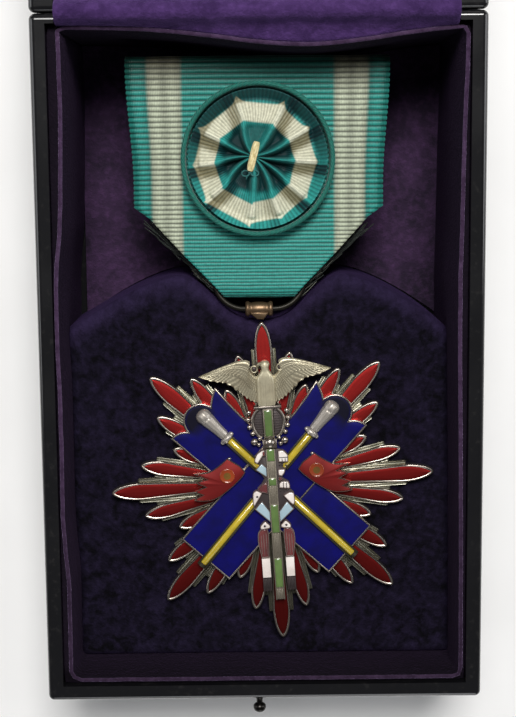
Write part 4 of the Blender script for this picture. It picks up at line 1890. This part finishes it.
class MEDAL_OT_star(bpy.types.Operator):
    """Adds the silver star and the red enamel of its rays"""
    bl_idname = "medal.star"
    bl_label = "Star"
    bl_options = {"REGISTER", "UNDO"}

    def execute(self, context):
        make_star()
        return {"FINISHED"}


class MEDAL_OT_shields(bpy.types.Operator):
    """Adds the crossed shields and their enamel"""
    bl_idname = "medal.shields"
    bl_label = "Shields"
    bl_options = {"REGISTER", "UNDO"}

    def execute(self, context):
        make_shields()
        return {"FINISHED"}


class MEDAL_OT_staffs(bpy.types.Operator):
    """Adds the two staffs"""
    bl_idname = "medal.staffs"
    bl_label = "Staffs"
    bl_options = {"REGISTER", "UNDO"}

    def execute(self, context):
        make_staffs()
        return {"FINISHED"}


class MEDAL_OT_banners(bpy.types.Operator):
    """Adds the two banners and their crests"""
    bl_idname = "medal.banners"
    bl_label = "Banners"
    bl_options = {"REGISTER", "UNDO"}

    def execute(self, context):
        make_banners()
        return {"FINISHED"}


class MEDAL_OT_bird(bpy.types.Operator):
    """Adds the spread-winged bird"""
    bl_idname = "medal.bird"
    bl_label = "Bird"
    bl_options = {"REGISTER", "UNDO"}

    def execute(self, context):
        make_bird()
        return {"FINISHED"}


class MEDAL_OT_sword(bpy.types.Operator):
    """Adds the sword and its beaded guard"""
    bl_idname = "medal.sword"
    bl_label = "Sword"
    bl_options = {"REGISTER", "UNDO"}

    def execute(self, context):
        make_sword()
        make_guard()
        return {"FINISHED"}


class MEDAL_OT_cords(bpy.types.Operator):
    """Adds the wound cords and tassels"""
    bl_idname = "medal.cords"
    bl_label = "Cords"
    bl_options = {"REGISTER", "UNDO"}

    def execute(self, context):
        make_cords()
        return {"FINISHED"}


class MEDAL_OT_stage(bpy.types.Operator):
    """Adds the floor, the lights and the camera"""
    bl_idname = "medal.stage"
    bl_label = "Stage"
    bl_options = {"REGISTER", "UNDO"}

    def execute(self, context):
        make_stage()
        return {"FINISHED"}


OPERATORS = [MEDAL_OT_case, MEDAL_OT_velvet, MEDAL_OT_ribbon, MEDAL_OT_rosette,
             MEDAL_OT_suspension, MEDAL_OT_star, MEDAL_OT_shields, MEDAL_OT_staffs,
             MEDAL_OT_banners, MEDAL_OT_bird, MEDAL_OT_sword, MEDAL_OT_cords,
             MEDAL_OT_stage]


class MEDAL_PT_panel(bpy.types.Panel):
    """Lists the medal's parts and settings."""
    bl_label = "Medal"
    bl_space_type = "VIEW_3D"
    bl_region_type = "UI"
    bl_category = "Medal"

    def draw(self, context):
        for made in OPERATORS:
            self.layout.operator(made.bl_idname)
        for part in (looks().case, looks().ribbon, looks().badge, looks().stage):
            rows = self.layout.box()
            for key in part.__annotations__:
                rows.prop(part, key)


CLASSES = [CaseLooks, RibbonLooks, BadgeLooks, StageLooks, MedalLooks, *OPERATORS, MEDAL_PT_panel]


def register():
    for c in CLASSES:
        bpy.utils.register_class(c)
    bpy.types.Scene.medal_looks = PointerProperty(type=MedalLooks)


def unregister():
    del bpy.types.Scene.medal_looks
    for c in reversed(CLASSES):
        bpy.utils.unregister_class(c)


def main():
    register()
    for made in OPERATORS:
        if getattr(bpy.ops.medal, made.bl_idname.split(".")[1])() != {"FINISHED"}:
            raise RuntimeError(made.bl_label + " wasn't made")


if __name__ == "__main__":
    main()
